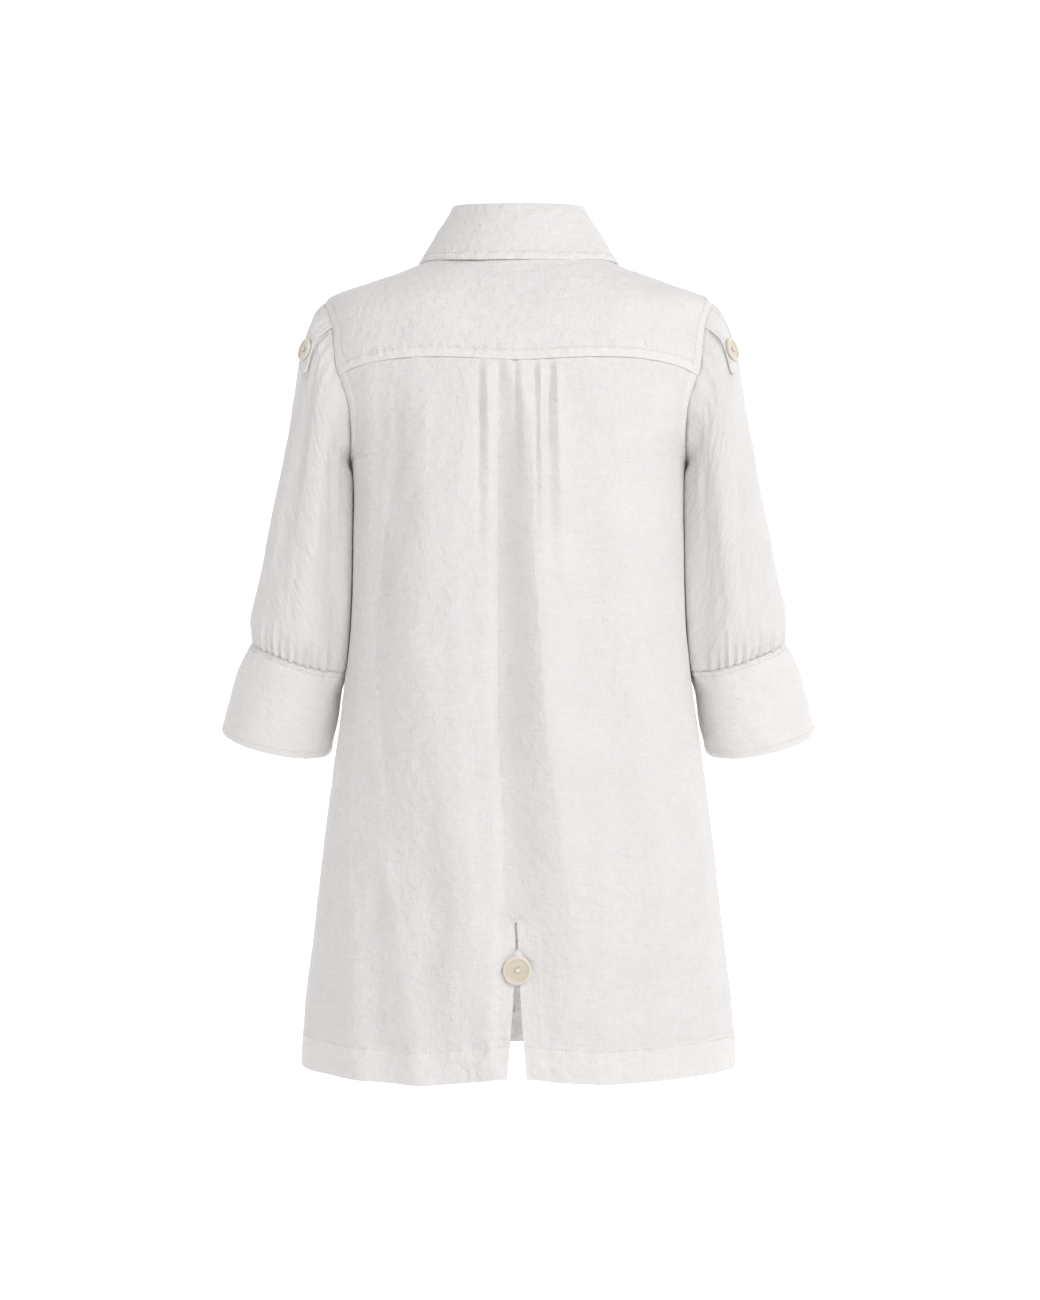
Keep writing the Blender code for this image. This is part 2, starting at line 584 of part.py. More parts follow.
def collar():
    """Collar stand and turned-down collar."""
    lap = math.radians(STAND_LAP)
    angle = np.linspace(-math.pi / 2 - lap, 1.5 * math.pi + lap, 37)
    levels = np.linspace(0, 2, 3)
    base = ring(STAND_ROWS, *np.broadcast_arrays(angle[None, :], levels[:, None]))
    normal = normals(base)
    normal *= np.sign(normal[1, 18, 1])
    raise_end = LAP_RAISE * smooth_step(angle, 1.5 * math.pi - 3.2 * lap, 1.5 * math.pi - 1.4 * lap)
    outer = base + level_direction(normal) * raise_end[None, :, None]
    wall("collar_stand", outer, outer - normal * CLOTH)
    share = np.linspace(0, 1, 35)
    roll_open = math.radians(FALL_ROLL_OPEN)
    edge_open = math.radians(FALL_EDGE_OPEN)
    roll = -math.pi / 2 + roll_open + (TURN - 2 * roll_open) * share
    edge = -math.pi / 2 + edge_open + (TURN - 2 * edge_open) * share
    point = smooth_step(np.abs(share - 0.5), 0.3, 0.5)
    edge_level = FALL_EDGE_ROW + (FALL_POINT_ROW - FALL_EDGE_ROW) * point
    edge_level = edge_level - FALL_BACK_DROP * smooth_step(0.25 - np.abs(share - 0.5), 0, 0.2)
    rest = body(edge, edge_level)
    step = 0.02
    along = body(edge + step, edge_level) - body(edge - step, edge_level)
    up = body(edge, edge_level + step) - body(edge, edge_level - step)
    lift = np.cross(along, up)
    lift = lift / np.linalg.norm(lift, axis=-1, keepdims=True)
    lift *= np.sign(lift[17, 1])
    hem = rest + lift * FALL_EDGE_LIFT
    rows = []
    for r in range(len(FALL_ROWS)):
        blend = (r / len(FALL_ROWS)) ** 2
        rows.append(ring(FALL_ROWS, roll + (edge - roll) * blend, np.full(share.shape, float(r))))
    knots = np.array(rows + [hem]).reshape(len(FALL_ROWS) + 1, -1)
    fine = np.array([0, 0.5, 1, 1.5, 2, 3, 3.5, 4])
    base = spline(knots, fine).reshape(len(fine), len(share), 3)
    normal = normals(base)
    normal *= np.sign(normal[5, 17, 1])
    wall("collar_fall", base, base - normal * CLOTH)


def strip_wall(name, base, normal, clear, thickness):
    """A piece that lies on a panel, made from the panel's own points moved out."""
    lower = base + normal * clear
    wall(name, lower + normal * thickness, lower)


def shoulder_tabs():
    """Round-ended tabs from the armhole seam down over the sleeve head, each with its button."""
    middle = math.radians(TAB_ANGLE)
    fine = np.linspace(0, 3, 121)
    line = sleeve_surface(np.array([middle]), fine)[:, 0]
    run = np.concatenate([[0], np.cumsum(np.linalg.norm(np.diff(line, axis=0), axis=1))])
    ends = np.array([0, 0.12, 0.26, 0.4, 0.55, 0.7, 0.8])
    stops = np.concatenate([TAB_START + (TAB_LENGTH - TAB_POINT - TAB_START) * ends / ends[-1],
                            [TAB_LENGTH - TAB_POINT / 2, TAB_LENGTH - 1]])
    half = np.array([TAB_HALF_WIDTH] * len(ends) + [TAB_HALF_WIDTH * 0.84, TAB_HALF_WIDTH * 0.32])
    across = np.linspace(-1, 1, 7)
    base = np.zeros((len(stops), len(across), 3))
    for r, (stop, reach) in enumerate(zip(stops, half)):
        level = float(np.interp(stop, run, fine))
        beside = sleeve_surface(np.array([middle - 0.05, middle + 0.05]), [level])[0]
        around = middle + across * reach * 0.1 / np.linalg.norm(beside[1] - beside[0])
        base[r] = sleeve_surface(around, [level])[0]
    normal = normals(base)
    normal *= np.sign(normal[4, 3, 0])
    level = float(np.interp(TAB_LENGTH - TAB_BUTTON_FROM_TIP, run, fine))
    seat = sleeve_surface(np.array([middle - 0.05, middle, middle + 0.05]), [level - 0.1, level, level + 0.1])
    axis = normals(seat)[1, 1]
    axis *= np.sign(axis[0])
    centre = seat[1, 1] + axis * (ON_PANEL + TAB_CLOTH + SEAM_GAP)
    for side, sign in (("left", 1.0), ("right", -1.0)):
        turn = np.array([sign, 1.0, 1.0])
        strip = (base, normal) if sign > 0 else (mirrored(base), mirrored(normal))
        strip_wall("tab_" + side, *strip, ON_PANEL, TAB_CLOTH)
        button("button_tab_" + side, centre * turn, axis * turn, TAB_BUTTON_RADIUS)


def back_outer(x, z):
    """Point and normal of the back's outer surface, folds and pleats included."""
    level = level_at(math.pi / 2, z)
    points = []
    for shift_x, shift_z in ((0, 0), (1, 0), (0, 1)):
        row = level + shift_z * 0.01
        base = body(math.pi / 2 - angle_at(x + shift_x, row), row)
        height = pleats(base[..., 0], base[..., 2]) + folds(BACK_FOLDS, base[..., 0], base[..., 2])
        points.append(base + np.stack([0 * height, height, 0 * height], -1))
    normal = np.cross(points[2] - points[0], points[1] - points[0])
    normal = normal / np.linalg.norm(normal, axis=-1, keepdims=True)
    return points[0], normal * np.sign(normal[..., 1:2])


def vent_closing():
    """Pointed tab across the back vent, under its big button."""
    share = np.array([0.0, 0.35, VENT_TAB_POINT / VENT_TAB_LENGTH, 0.7, 1.0])
    half = VENT_TAB_HALF_WIDTH * np.array([0.08, 0.8, 1.0, 1.0, 0.7])
    across = np.linspace(-1, 1, 5)
    x = VENT_X + half[::-1, None] * across[None, :]
    z = (VENT_TAB_TOP_Z - VENT_TAB_LENGTH * share)[::-1, None] + 0 * across[None, :]
    base, normal = back_outer(x, z)
    strip_wall("vent_tab", base, normal, ON_PANEL, TAB_CLOTH)
    seat, axis = back_outer(np.array([VENT_X]), np.array([VENT_BUTTON_Z]))
    clear = ON_PANEL + TAB_CLOTH + SEAM_GAP + 0.4
    button("button_vent", seat[0] + axis[0] * clear, axis[0], VENT_BUTTON_RADIUS)


def front_buttons():
    """The row of buttons down the lapped front."""
    for number in range(FRONT_BUTTONS):
        height = FRONT_BUTTON_TOP_Z - FRONT_BUTTON_STEP * number
        level = float(level_at(-math.pi / 2, height))
        low, seat, high = (body(-math.pi / 2, level + shift) for shift in (-0.2, 0.0, 0.2))
        axis = np.cross(high - low, np.array([1.0, 0, 0]))
        axis = axis / np.linalg.norm(axis)
        axis *= -np.sign(axis[1])
        lap = level_direction(axis) * LAP_RAISE
        centre = seat + lap + axis * (PLACKET_RELIEF + SEAM_GAP)
        button("button_front_%d" % (number + 1), centre, axis, FRONT_BUTTON_RADIUS)


def button(name, centre, axis, radius):
    """Turned button with a raised rim, its underside centred at a point."""
    scale = radius / VENT_BUTTON_RADIUS
    profile = [(share * radius * MM, 0, height * (0.4 + 0.6 * scale) * MM) for share, height in BUTTON_PROFILE]
    mesh = bpy.data.meshes.new(name)
    mesh.from_pydata(profile, [(i, i + 1) for i in range(len(profile) - 1)], [])
    piece = place(name, mesh, HORN, 0.35)
    spin = piece.modifiers.new("turned", "SCREW")
    spin.steps = spin.render_steps = BUTTON_SIDES
    spin.use_merge_vertices = True
    spin.merge_threshold = 0.00001
    spin.use_smooth_shade = True
    piece.rotation_mode = "QUATERNION"
    piece.rotation_quaternion = Vector(axis).to_track_quat("Z", "Y")
    piece.location = Vector(centre) * MM


def start():
    """Empties the file and makes the collection."""
    for thing in list(bpy.data.objects):
        bpy.data.objects.remove(thing, do_unlink=True)
    made = bpy.data.collections.new(COLLECTION)
    bpy.context.scene.collection.children.link(made)
    return made


LINEN = (0.84, 0.83, 0.82)
HORN = (0.72, 0.66, 0.54)
shirt = start()
back_panel()
neck_corner = yoke()
front_panel("front_left", False, neck_corner)
front_panel("front_right", True, neck_corner)
sleeves_and_cuffs()
collar()
shoulder_tabs()
vent_closing()
front_buttons()
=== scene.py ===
"""Linen utility shirt, filled out as worn and seen from its back: the looks.

Laid out as a Blender add-on and run as a script. Shapes are worked out in millimetres, from the tables
that the solids have too and from finer ones, and turned to metres when a mesh is made. The wearer's left
is +X, the back is +Y.
"""
import math

import bmesh
import bpy
import numpy as np
from bpy.props import FloatProperty, FloatVectorProperty, IntProperty, PointerProperty
from mathutils import Matrix, Vector


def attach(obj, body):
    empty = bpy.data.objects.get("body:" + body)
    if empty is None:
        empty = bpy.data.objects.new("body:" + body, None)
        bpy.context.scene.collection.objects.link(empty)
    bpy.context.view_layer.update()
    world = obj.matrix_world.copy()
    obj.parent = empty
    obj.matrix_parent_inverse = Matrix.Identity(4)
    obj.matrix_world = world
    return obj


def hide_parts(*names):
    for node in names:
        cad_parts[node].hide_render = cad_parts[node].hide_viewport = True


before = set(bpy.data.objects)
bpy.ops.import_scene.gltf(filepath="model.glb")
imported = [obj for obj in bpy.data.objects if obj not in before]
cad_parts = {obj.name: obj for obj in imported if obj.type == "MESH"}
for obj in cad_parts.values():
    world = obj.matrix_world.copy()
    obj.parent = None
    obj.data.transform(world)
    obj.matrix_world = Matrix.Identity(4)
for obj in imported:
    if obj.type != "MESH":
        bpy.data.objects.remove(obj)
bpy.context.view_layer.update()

bl_info = {
    "name": "Linen utility shirt",
    "version": (1, 0, 0),
    "blender": (4, 5, 0),
    "location": "3D View > Sidebar > Shirt",
    "description": "Builds a hollow linen shirt in its worn form, piece by piece",
    "category": "Add Mesh",
}

MM = 0.001
TURN = 2 * math.pi
QUARTER_TURN = math.pi / 2

# Body: one row for each level, from the hem up to the neck seam
# side_z  half_width  back_y  back_z  front_y  front_z  squareness
BODY_ROWS = [
    (-813.5, 220.6, 130.0, -813.5, -128.0, -813.5, 2.15),
    (-750.0, 217.0, 129.0, -750.0, -127.0, -750.0, 2.15),
    (-668.0, 206.8, 127.0, -668.0, -125.0, -668.0, 2.2),
    (-586.0, 198.2, 124.5, -586.0, -123.0, -586.0, 2.2),
    (-505.0, 187.4, 121.5, -505.0, -121.5, -505.0, 2.25),
    (-432.0, 177.4, 118.5, -432.0, -121.0, -432.0, 2.3),
    (-362.0, 170.4, 116.5, -362.0, -123.0, -362.0, 2.3),
    (-290.0, 168.8, 116.5, -290.0, -127.0, -290.0, 2.35),
    (-205.0, 169.0, 118.0, -208.0, -127.0, -210.0, 2.4),
    (-152.0, 182.5, 118.0, -160.0, -121.0, -165.0, 2.4),
    (-105.0, 201.5, 115.5, -122.0, -115.5, -135.0, 2.4),
    (-66.5, 199.0, 112.0, -88.0, -113.0, -119.0, 2.4),
    (-36.5, 192.5, 104.5, -54.0, -110.0, -108.0, 2.35),
    (-21.5, 155.0, 95.0, -30.5, -106.0, -97.0, 2.25),
    (-8.5, 115.8, 84.0, -10.5, -99.0, -86.0, 2.15),
    (1.5, 90.0, 75.5, 4.0, -92.0, -77.0, 2.05),
    (9.5, 74.0, 68.0, 14.5, -85.0, -70.0, 2.0),
]
UNDERARM_ROW = 8.0
SHOULDER_ROW = 12.0
NECK_ROW = len(BODY_ROWS) - 1.0
SHOULDER_ROUNDING = 1.5

# Armhole, an oval seen from the side
ARMHOLE_TOP = -37.0
ARMHOLE_LOW = -202.0
ARMHOLE_BACK = 64.0
ARMHOLE_FRONT = -62.0
ARM_PARTS = 36              # the solids' points round an armhole, by which seams are placed

# Seams, hems and openings
YOKE_CENTRE_Z = -109.0
YOKE_RISE = 5.5
TOPSTITCH_IN = 9.3          # from a seam to the line of stitches beside it
FORWARD_SEAM_STEP = 3       # armhole points between the shoulder's top and the forward seam
NECK_END_TURN = 0.12        # how far the forward seam leans to the front on its way to the neck
EDGE_CALM = 26.0            # folds die out this close to a side seam or armhole
HEM_DEPTH = 34.0
HEM_STITCH = HEM_DEPTH - 1.8
NECK_STITCH = 3.5
HEM_Z = BODY_ROWS[0][0]
SEAM_THICK = 0.7            # how far a topstitched seam allowance raises the cloth
FAR = 99.0                  # stands for out of a seam's reach
LAP = 15.0
LAP_RAISE = 2.6             # how far the right front stands over the left one where they lap
LAP_RAMP = (-34.0, -19.0)
VENT_X = 1.5
VENT_TOP_Z = -657.0
VENT_HALF_TOP = 1.0
VENT_HALF_HEM = 9.6
VENT_OPENING = 1.6          # the slit stays narrow at first and then opens
VENT_FACING = 23.0
VENT_SPREAD = 60.0          # how far from the slit the cloth is drawn aside
VENT_BEND = 1.1
SPOKE_RING = 7.0            # radius of the small pulls round the top of the slit
# Crossed bars of thread at the top of the vent's slit, in columns and rows of the back's grid
BAR_TACK = (((-3.2, 1.6), (2.0, -1.0)), ((2.4, 1.4), (-2.6, -0.6)))
SHORT_ROW_Z = -18.7         # a short row of stitches just below the collar
SHORT_ROW_HALF = 24.0
# How far the hem hangs off its level, by distance from the centre plane
HEM_DROP = ([-221.0, -150.0, -88.0, -32.0, -6.0, 9.0, 35.0, 91.0, 150.0, 221.0],
            [0.0, -1.2, -2.6, 0.6, 3.5, 3.5, 0.6, -2.6, -1.2, 0.0])

# Main folds of the solids; the vent tab and its button are seated on the back ones
# top_x  top_z  low_x  low_z  top_width  low_width  depth
BACK_FOLDS = [
    (3.0, -120.0, -13.0, -700.0, 13.0, 27.0, -5.6),
    (-36.0, -260.0, -62.0, -830.0, 13.0, 26.0, 4.6),
    (34.0, -220.0, 42.0, -840.0, 13.0, 27.0, 5.0),
    (104.0, -140.0, 84.0, -700.0, 12.0, 22.0, -4.2),
    (148.0, -330.0, 92.0, -850.0, 13.0, 24.0, -5.2),
    (152.0, -150.0, 128.0, -820.0, 10.0, 24.0, 4.6),
    (-118.0, -170.0, -150.0, -840.0, 14.0, 28.0, 4.2),
    (-88.0, -200.0, -106.0, -840.0, 14.0, 26.0, -4.0),
    (-160.0, -180.0, -186.0, -840.0, 12.0, 24.0, -3.6),
    (176.0, -420.0, 190.0, -840.0, 14.0, 20.0, -3.6),
]
FRONT_FOLDS = [
    (46.0, -200.0, 52.0, -840.0, 16.0, 26.0, 3.6),
    (84.0, -180.0, 98.0, -830.0, 14.0, 24.0, -4.4),
    (122.0, -250.0, 150.0, -845.0, 14.0, 26.0, 4.4),
    (-56.0, -190.0, -62.0, -840.0, 15.0, 25.0, -3.8),
    (-92.0, -220.0, -112.0, -840.0, 14.0, 26.0, 4.6),
    (-140.0, -200.0, -164.0, -845.0, 12.0, 24.0, -4.2),
    (156.0, -300.0, 188.0, -835.0, 12.0, 22.0, -3.8),
]

# Folds of the back that lean over: a groove, a slope that climbs away from it and a soft ridge
# z  groove_x  ridge_x  dip  rise
LEANING_FOLDS = [
    [(-112.0, 38.4, 32.0, 2.4, 2.0), (-150.0, 38.4, 30.0, 4.4, 3.6), (-215.0, 38.0, 28.5, 2.6, 3.0),
     (-340.0, 36.0, 24.0, 0.0, 0.0)],
    [(-112.0, 19.2, 11.0, 2.4, 2.0), (-150.0, 20.0, -6.0, 6.0, 6.0), (-178.0, 20.2, -12.6, 9.0, 10.5),
     (-300.0, 20.8, -13.8, 11.5, 15.0), (-380.0, 20.2, -19.0, 11.5, 16.5),
     (-444.0, 19.4, -26.0, 11.0, 17.4), (-560.0, 18.2, -36.0, 9.6, 17.4), (-630.0, 17.0, -45.0, 6.6, 14.0),
     (-700.0, 15.4, -53.0, 2.6, 7.4), (-830.0, 15.0, -62.0, 0.0, 3.2)],
    [(-112.0, 3.4, -2.0, 2.6, 2.0), (-140.0, 3.2, -3.4, 2.6, 2.2), (-250.0, 2.0, -6.0, 0.0, 0.0)],
    [(-112.0, -16.4, -21.0, 2.8, 2.2), (-160.0, -16.6, -21.6, 3.0, 3.0), (-240.0, -16.0, -21.0, 1.6, 1.6),
     (-330.0, -16.0, -23.0, 0.0, 0.0)],
    [(-112.0, -32.0, -37.0, 3.0, 2.6), (-160.0, -29.6, -38.0, 5.0, 4.6), (-250.0, -27.6, -38.6, 4.6, 4.2),
     (-350.0, -27.0, -41.0, 0.0, 0.0)],
    [(-116.0, 124.0, 98.0, 0.0, 0.0), (-170.0, 122.0, 92.0, 1.6, 5.4), (-290.0, 134.0, 89.0, 2.0, 9.0),
     (-404.0, 142.0, 88.0, 2.0, 10.5), (-560.0, 128.0, 72.0, 1.8, 10.0), (-695.0, 104.0, 47.0, 1.4, 7.4),
     (-835.0, 82.0, 24.0, 0.4, 3.4)],
    [(-150.0, 166.0, 150.0, 0.0, 2.0), (-300.0, 168.0, 156.0, 0.8, 3.0), (-520.0, 186.0, 166.0, 1.6, 4.6),
     (-840.0, 196.0, 160.0, 0.6, 4.4)],
    [(-420.0, 158.0, 130.0, 0.0, 0.0), (-600.0, 160.0, 126.0, 1.6, 5.2), (-840.0, 140.0, 96.0, 1.0, 5.4)],
    [(-180.0, -72.0, -96.0, 0.0, 0.0), (-330.0, -78.0, -108.0, 0.8, 2.6), (-640.0, -92.0, -128.0, 1.4, 5.4),
     (-840.0, -98.0, -136.0, 0.8, 5.0)],
    [(-300.0, -140.0, -160.0, 0.0, 0.0), (-560.0, -150.0, -178.0, 1.0, 4.0),
     (-840.0, -160.0, -196.0, 0.8, 4.4)],
]

# Lighter creases placed between them
# top_x  top_z  low_x  low_z  top_width  low_width  depth
BACK_CREASES = [
    (46.0, -118.0, 60.0, -260.0, 4.5, 8.0, 0.9),
    (74.0, -112.0, 86.0, -230.0, 5.0, 9.0, -1.2),
    (104.0, -112.0, 112.0, -250.0, 5.0, 9.0, 1.3),
    (136.0, -118.0, 138.0, -240.0, 4.5, 8.0, -1.3),
    (-52.0, -115.0, -66.0, -330.0, 5.0, 9.0, -0.8),
    (-70.0, -112.0, -84.0, -240.0, 5.0, 9.0, 0.8),
    (-104.0, -112.0, -112.0, -250.0, 5.0, 9.0, -0.8),
    (64.0, -200.0, 52.0, -560.0, 6.0, 11.0, 1.1),
    (62.0, -470.0, 26.0, -800.0, 5.0, 10.0, 1.3),
    (158.0, -215.0, 100.0, -330.0, 4.0, 7.0, 1.0),
    (150.0, -270.0, 112.0, -420.0, 4.0, 8.0, -0.9),
    (170.0, -400.0, 128.0, -560.0, 4.0, 9.0, 1.1),
    (-150.0, -220.0, -96.0, -330.0, 4.0, 8.0, 0.8),
    (-58.0, -330.0, -72.0, -700.0, 8.0, 14.0, -0.9),
    (-76.0, -520.0, -84.0, -835.0, 6.0, 11.0, 1.1),
    (-118.0, -440.0, -124.0, -835.0, 6.0, 11.0, -1.0),
    (32.0, -600.0, 38.0, -840.0, 5.0, 10.0, -1.1),
    (62.0, -650.0, 66.0, -840.0, 5.0, 10.0, 1.2),
    (-26.0, -700.0, -30.0, -840.0, 5.0, 9.0, -1.2),
    (-176.0, -520.0, -168.0, -845.0, 7.0, 12.0, 1.0),
]
FRONT_CREASES = [
    (40.0, -160.0, 60.0, -420.0, 5.0, 10.0, -1.2),
    (70.0, -330.0, 64.0, -760.0, 6.0, 11.0, 1.4),
    (110.0, -200.0, 82.0, -420.0, 6.0, 9.0, 1.2),
    (150.0, -240.0, 104.0, -380.0, 5.0, 8.0, -1.3),
    (132.0, -470.0, 120.0, -820.0, 7.0, 12.0, -1.3),
    (180.0, -520.0, 176.0, -840.0, 7.0, 12.0, 1.2),
    (-44.0, -210.0, -40.0, -620.0, 6.0, 10.0, 1.1),
    (-76.0, -300.0, -84.0, -780.0, 6.0, 11.0, 1.3),
    (-128.0, -230.0, -98.0, -420.0, 5.0, 9.0, 1.3),
    (-150.0, -420.0, -140.0, -820.0, 7.0, 12.0, 1.3),
    (-178.0, -480.0, -184.0, -840.0, 7.0, 12.0, -1.2),
]

# Sleeve and cuff: one row for each level, given by its outer and inner edge
# outer_x  outer_z  inner_x  inner_z  middle_y  half_depth  back_drop  squareness
SLEEVE_ROWS = [
    (209.5, -53.0, 172.4, -209.0, 0.0, 67.0, 0.0, 2.0),
    (222.5, -92.0, 173.2, -222.0, -0.5, 67.0, 0.0, 2.05),
    (230.5, -140.0, 173.4, -244.0, -1.5, 64.5, 1.0, 2.1),
    (241.0, -199.0, 173.2, -272.0, -3.0, 61.5, 2.0, 2.15),
    (252.3, -258.0, 173.8, -303.0, -5.5, 59.0, 3.5, 2.15),
    (263.5, -313.0, 175.6, -342.0, -9.0, 57.5, 5.0, 2.15),
    (272.5, -356.0, 177.2, -381.0, -13.0, 56.0, 6.5, 2.1),
    (272.0, -383.0, 180.0, -413.5, -16.5, 50.5, 7.5, 2.05),
]
CUFF_ROWS = [
    (272.0, -383.5, 180.0, -414.0, -16.5, 50.0, 7.5, 2.05),
    (287.0, -412.0, 182.4, -441.0, -22.0, 51.5, 9.0, 2.0),
    (296.5, -443.0, 186.5, -469.0, -27.0, 53.5, 10.5, 2.0),
    (304.8, -474.8, 193.5, -498.5, -32.0, 55.5, 12.0, 2.0),
]
CUFF_STITCHES = (1.7, 5.6)     # the two rows beside a cuff's seam
CUFF_EDGE_STITCH = 7.0

# Folds of a sleeve: angle from the outer edge towards the back, in degrees
# angle  top_z  low_z  width_deg  depth
SLEEVE_FOLDS = [
    (34.0, -150.0, -390.0, 13.0, 2.6),
    (62.0, -90.0, -330.0, 13.0, -3.2),
    (96.0, -180.0, -400.0, 14.0, 2.8),
    (128.0, -110.0, -380.0, 12.0, -3.0),
    (-40.0, -140.0, -390.0, 15.0, 2.6),
    (-74.0, -100.0, -340.0, 14.0, -3.2),
    (-112.0, -170.0, -395.0, 14.0, 2.4),
]
SLEEVE_CREASES = [
    (20.0, -120.0, -300.0, 5.0, -1.1),
    (48.0, -230.0, -400.0, 4.5, 1.3),
    (78.0, -120.0, -280.0, 5.0, 1.2),
    (84.0, -260.0, -400.0, 4.5, -1.2),
    (112.0, -200.0, -400.0, 5.0, -1.1),
    (140.0, -180.0, -330.0, 5.0, 1.2),
    (-20.0, -200.0, -400.0, 5.0, 1.1),
    (-58.0, -220.0, -400.0, 5.0, -1.2),
    (-96.0, -130.0, -330.0, 5.0, 1.1),
    (-130.0, -200.0, -400.0, 5.0, -1.0),
]
# Gathers let into a cuff seam, uneven in place, width and length, each with a dip beside it
# angle  width_deg  length  depth
GATHERS = [
    (16.0, 3.4, 34.0, 1.5), (27.0, 3.0, 52.0, 1.9), (37.0, 3.2, 30.0, 1.4), (47.5, 3.0, 62.0, 2.1),
    (57.0, 3.4, 44.0, 1.7), (66.5, 2.8, 70.0, 2.2), (76.0, 3.2, 38.0, 1.6), (86.0, 3.0, 58.0, 2.0),
    (95.5, 3.4, 46.0, 1.8), (106.0, 3.0, 66.0, 2.1), (117.0, 3.4, 40.0, 1.6), (130.0, 3.8, 50.0, 1.6),
    (-14.0, 3.4, 40.0, 1.4), (-26.0, 3.2, 54.0, 1.8), (-38.0, 3.2, 34.0, 1.5), (-49.0, 3.0, 62.0, 2.0),
    (-61.0, 3.4, 42.0, 1.6), (-72.0, 3.0, 60.0, 2.0), (-84.0, 3.4, 38.0, 1.6), (-97.0, 3.2, 56.0, 1.8),
    (-111.0, 3.6, 44.0, 1.5), (-126.0, 3.8, 36.0, 1.4),
]

# Small gathers where the sleeve head is set into the armhole, most of them behind the shoulder tab
# angle  width_deg  length  depth
HEAD_GATHERS = [
    (62.0, 2.2, 30.0, -1.3), (67.0, 2.0, 40.0, 1.2), (72.5, 2.4, 34.0, -1.2), (79.0, 2.4, 46.0, 1.0),
    (87.0, 3.0, 36.0, -0.9), (96.0, 3.4, 50.0, 0.9), (-58.0, 2.4, 34.0, 1.1), (-66.0, 2.4, 40.0, -1.1),
    (-76.0, 3.0, 36.0, 1.0), (10.0, 2.6, 26.0, 0.8), (2.0, 2.6, 30.0, -0.8),
]
HEAD_SLANT = 0.12           # degrees that they turn for each millimetre down the sleeve
GATHER_DIP = 4.4            # degrees from a gather of the cuff seam to the dip beside it
BODY_CLEAR = 0.4            # left between a hanging sleeve and the body's side

# Collar: one row for each ring, as on the body
STAND_ROWS = [
    (10.3, 74.0, 68.0, 15.3, -85.0, -69.0, 2.0),
    (32.0, 70.5, 65.5, 33.0, -81.0, -54.0, 2.0),
    (54.6, 65.6, 62.0, 49.0, -77.0, -38.0, 2.0),
]
FALL_ROWS = [
    (56.0, 65.8, 62.2, 50.6, -77.2, -36.4, 2.0),
    (58.2, 67.2, 64.0, 52.4, -79.0, -34.6, 2.0),
    (49.5, 71.8, 68.0, 48.0, -84.0, -38.5, 2.0),
    (30.0, 84.8, 76.5, 26.0, -94.0, -53.0, 2.05),
]
FALL_EDGE_ROW = 14.5
FALL_BACK_DROP = 0.3        # how much lower the edge hangs at the centre back
FALL_EDGE_LIFT = 3.0
FALL_POINT_ROW = 12.6
FALL_ROLL_OPEN = 6.0
FALL_EDGE_OPEN = 30.0
STAND_LAP = 8.5
STRIP_STITCH = 3.0          # from the edge of the button strip or the stand to its stitches
COLLAR_STITCH = 8.0
COLLAR_END_STITCH = 7.0

# Shoulder tabs, measured on the sleeve, and the tab across the vent
TAB_ANGLE = 42.0
TAB_HALF_WIDTH = 14.5
TAB_START = 1.0
TAB_LENGTH = 63.5
TAB_POINT = 13.0
TAB_SWEEP = 50.0            # degrees of the sleeve searched on each side of a tab
TAB_STITCH = 2.6
ON_PANEL = 0.6
TAB_CLOTH = 1.4
VENT_TAB_TOP_Z = -684.0
VENT_TAB_LENGTH = 30.0
VENT_TAB_POINT = 13.0
VENT_TAB_HALF_WIDTH = 8.6

# Buttons
SEAM_GAP = 0.36
VENT_BUTTON_RADIUS = 14.0
VENT_BUTTON_Z = -704.0
TAB_BUTTON_RADIUS = 11.8
TAB_BUTTON_FROM_TIP = 21.0
FRONT_BUTTON_RADIUS = 9.5
FRONT_BUTTON_TOP_Z = -105.0
FRONT_BUTTON_STEP = 92.0
FRONT_BUTTONS = 7
BUTTON_DISC = 56            # sides of a turned button
BUTTON_HOLES = 4
HOLE_SIDES = 14
# Turned steps of a button's face, as shares of its radius
# inset  rise
BUTTON_STEPS = [(0.10, 0.035), (0.10, 0.0), (0.09, -0.085), (0.24, -0.02)]
BUTTON_BACK_INSET = 0.16
HOLE_PLACE = 0.19
HOLE_RADIUS = 0.075

# Rows of the grids below the armhole
# height_reached  rows
BACK_GRID_ROWS = [(-785.0, 11), (-774.0, 9), (-694.0, 50), (-645.0, 26), (ARMHOLE_LOW - 3.0, 108)]
FRONT_GRID_ROWS = [(-785.0, 9), (-774.0, 8), (ARMHOLE_LOW - 3.0, 112)]
FINE_COLUMN = 1.7           # the back's columns beside its centre, then a few wider ones
FINE_COLUMNS = 30
WIDER_COLUMN = 2.4
WIDER_COLUMNS = 5
SLEEVE_COLUMNS = 180

# The photograph's frame and the pixels that place the camera
FRAME_PIXELS = (1040, 1300)
CENTRE_PIXEL_X = 518.5
MM_PER_PIXEL = 1.02
CAMERA_DISTANCE = 2.7
CAMERA_HEIGHT = -0.3927
SENSOR = 36.0


def linear(hex_colour):
    """Linear colour of an sRGB hex value."""
    shares = [int(hex_colour[i:i + 2], 16) / 255 for i in (1, 3, 5)]
    return tuple(s / 12.92 if s <= 0.04045 else ((s + 0.055) / 1.055) ** 2.4 for s in shares)


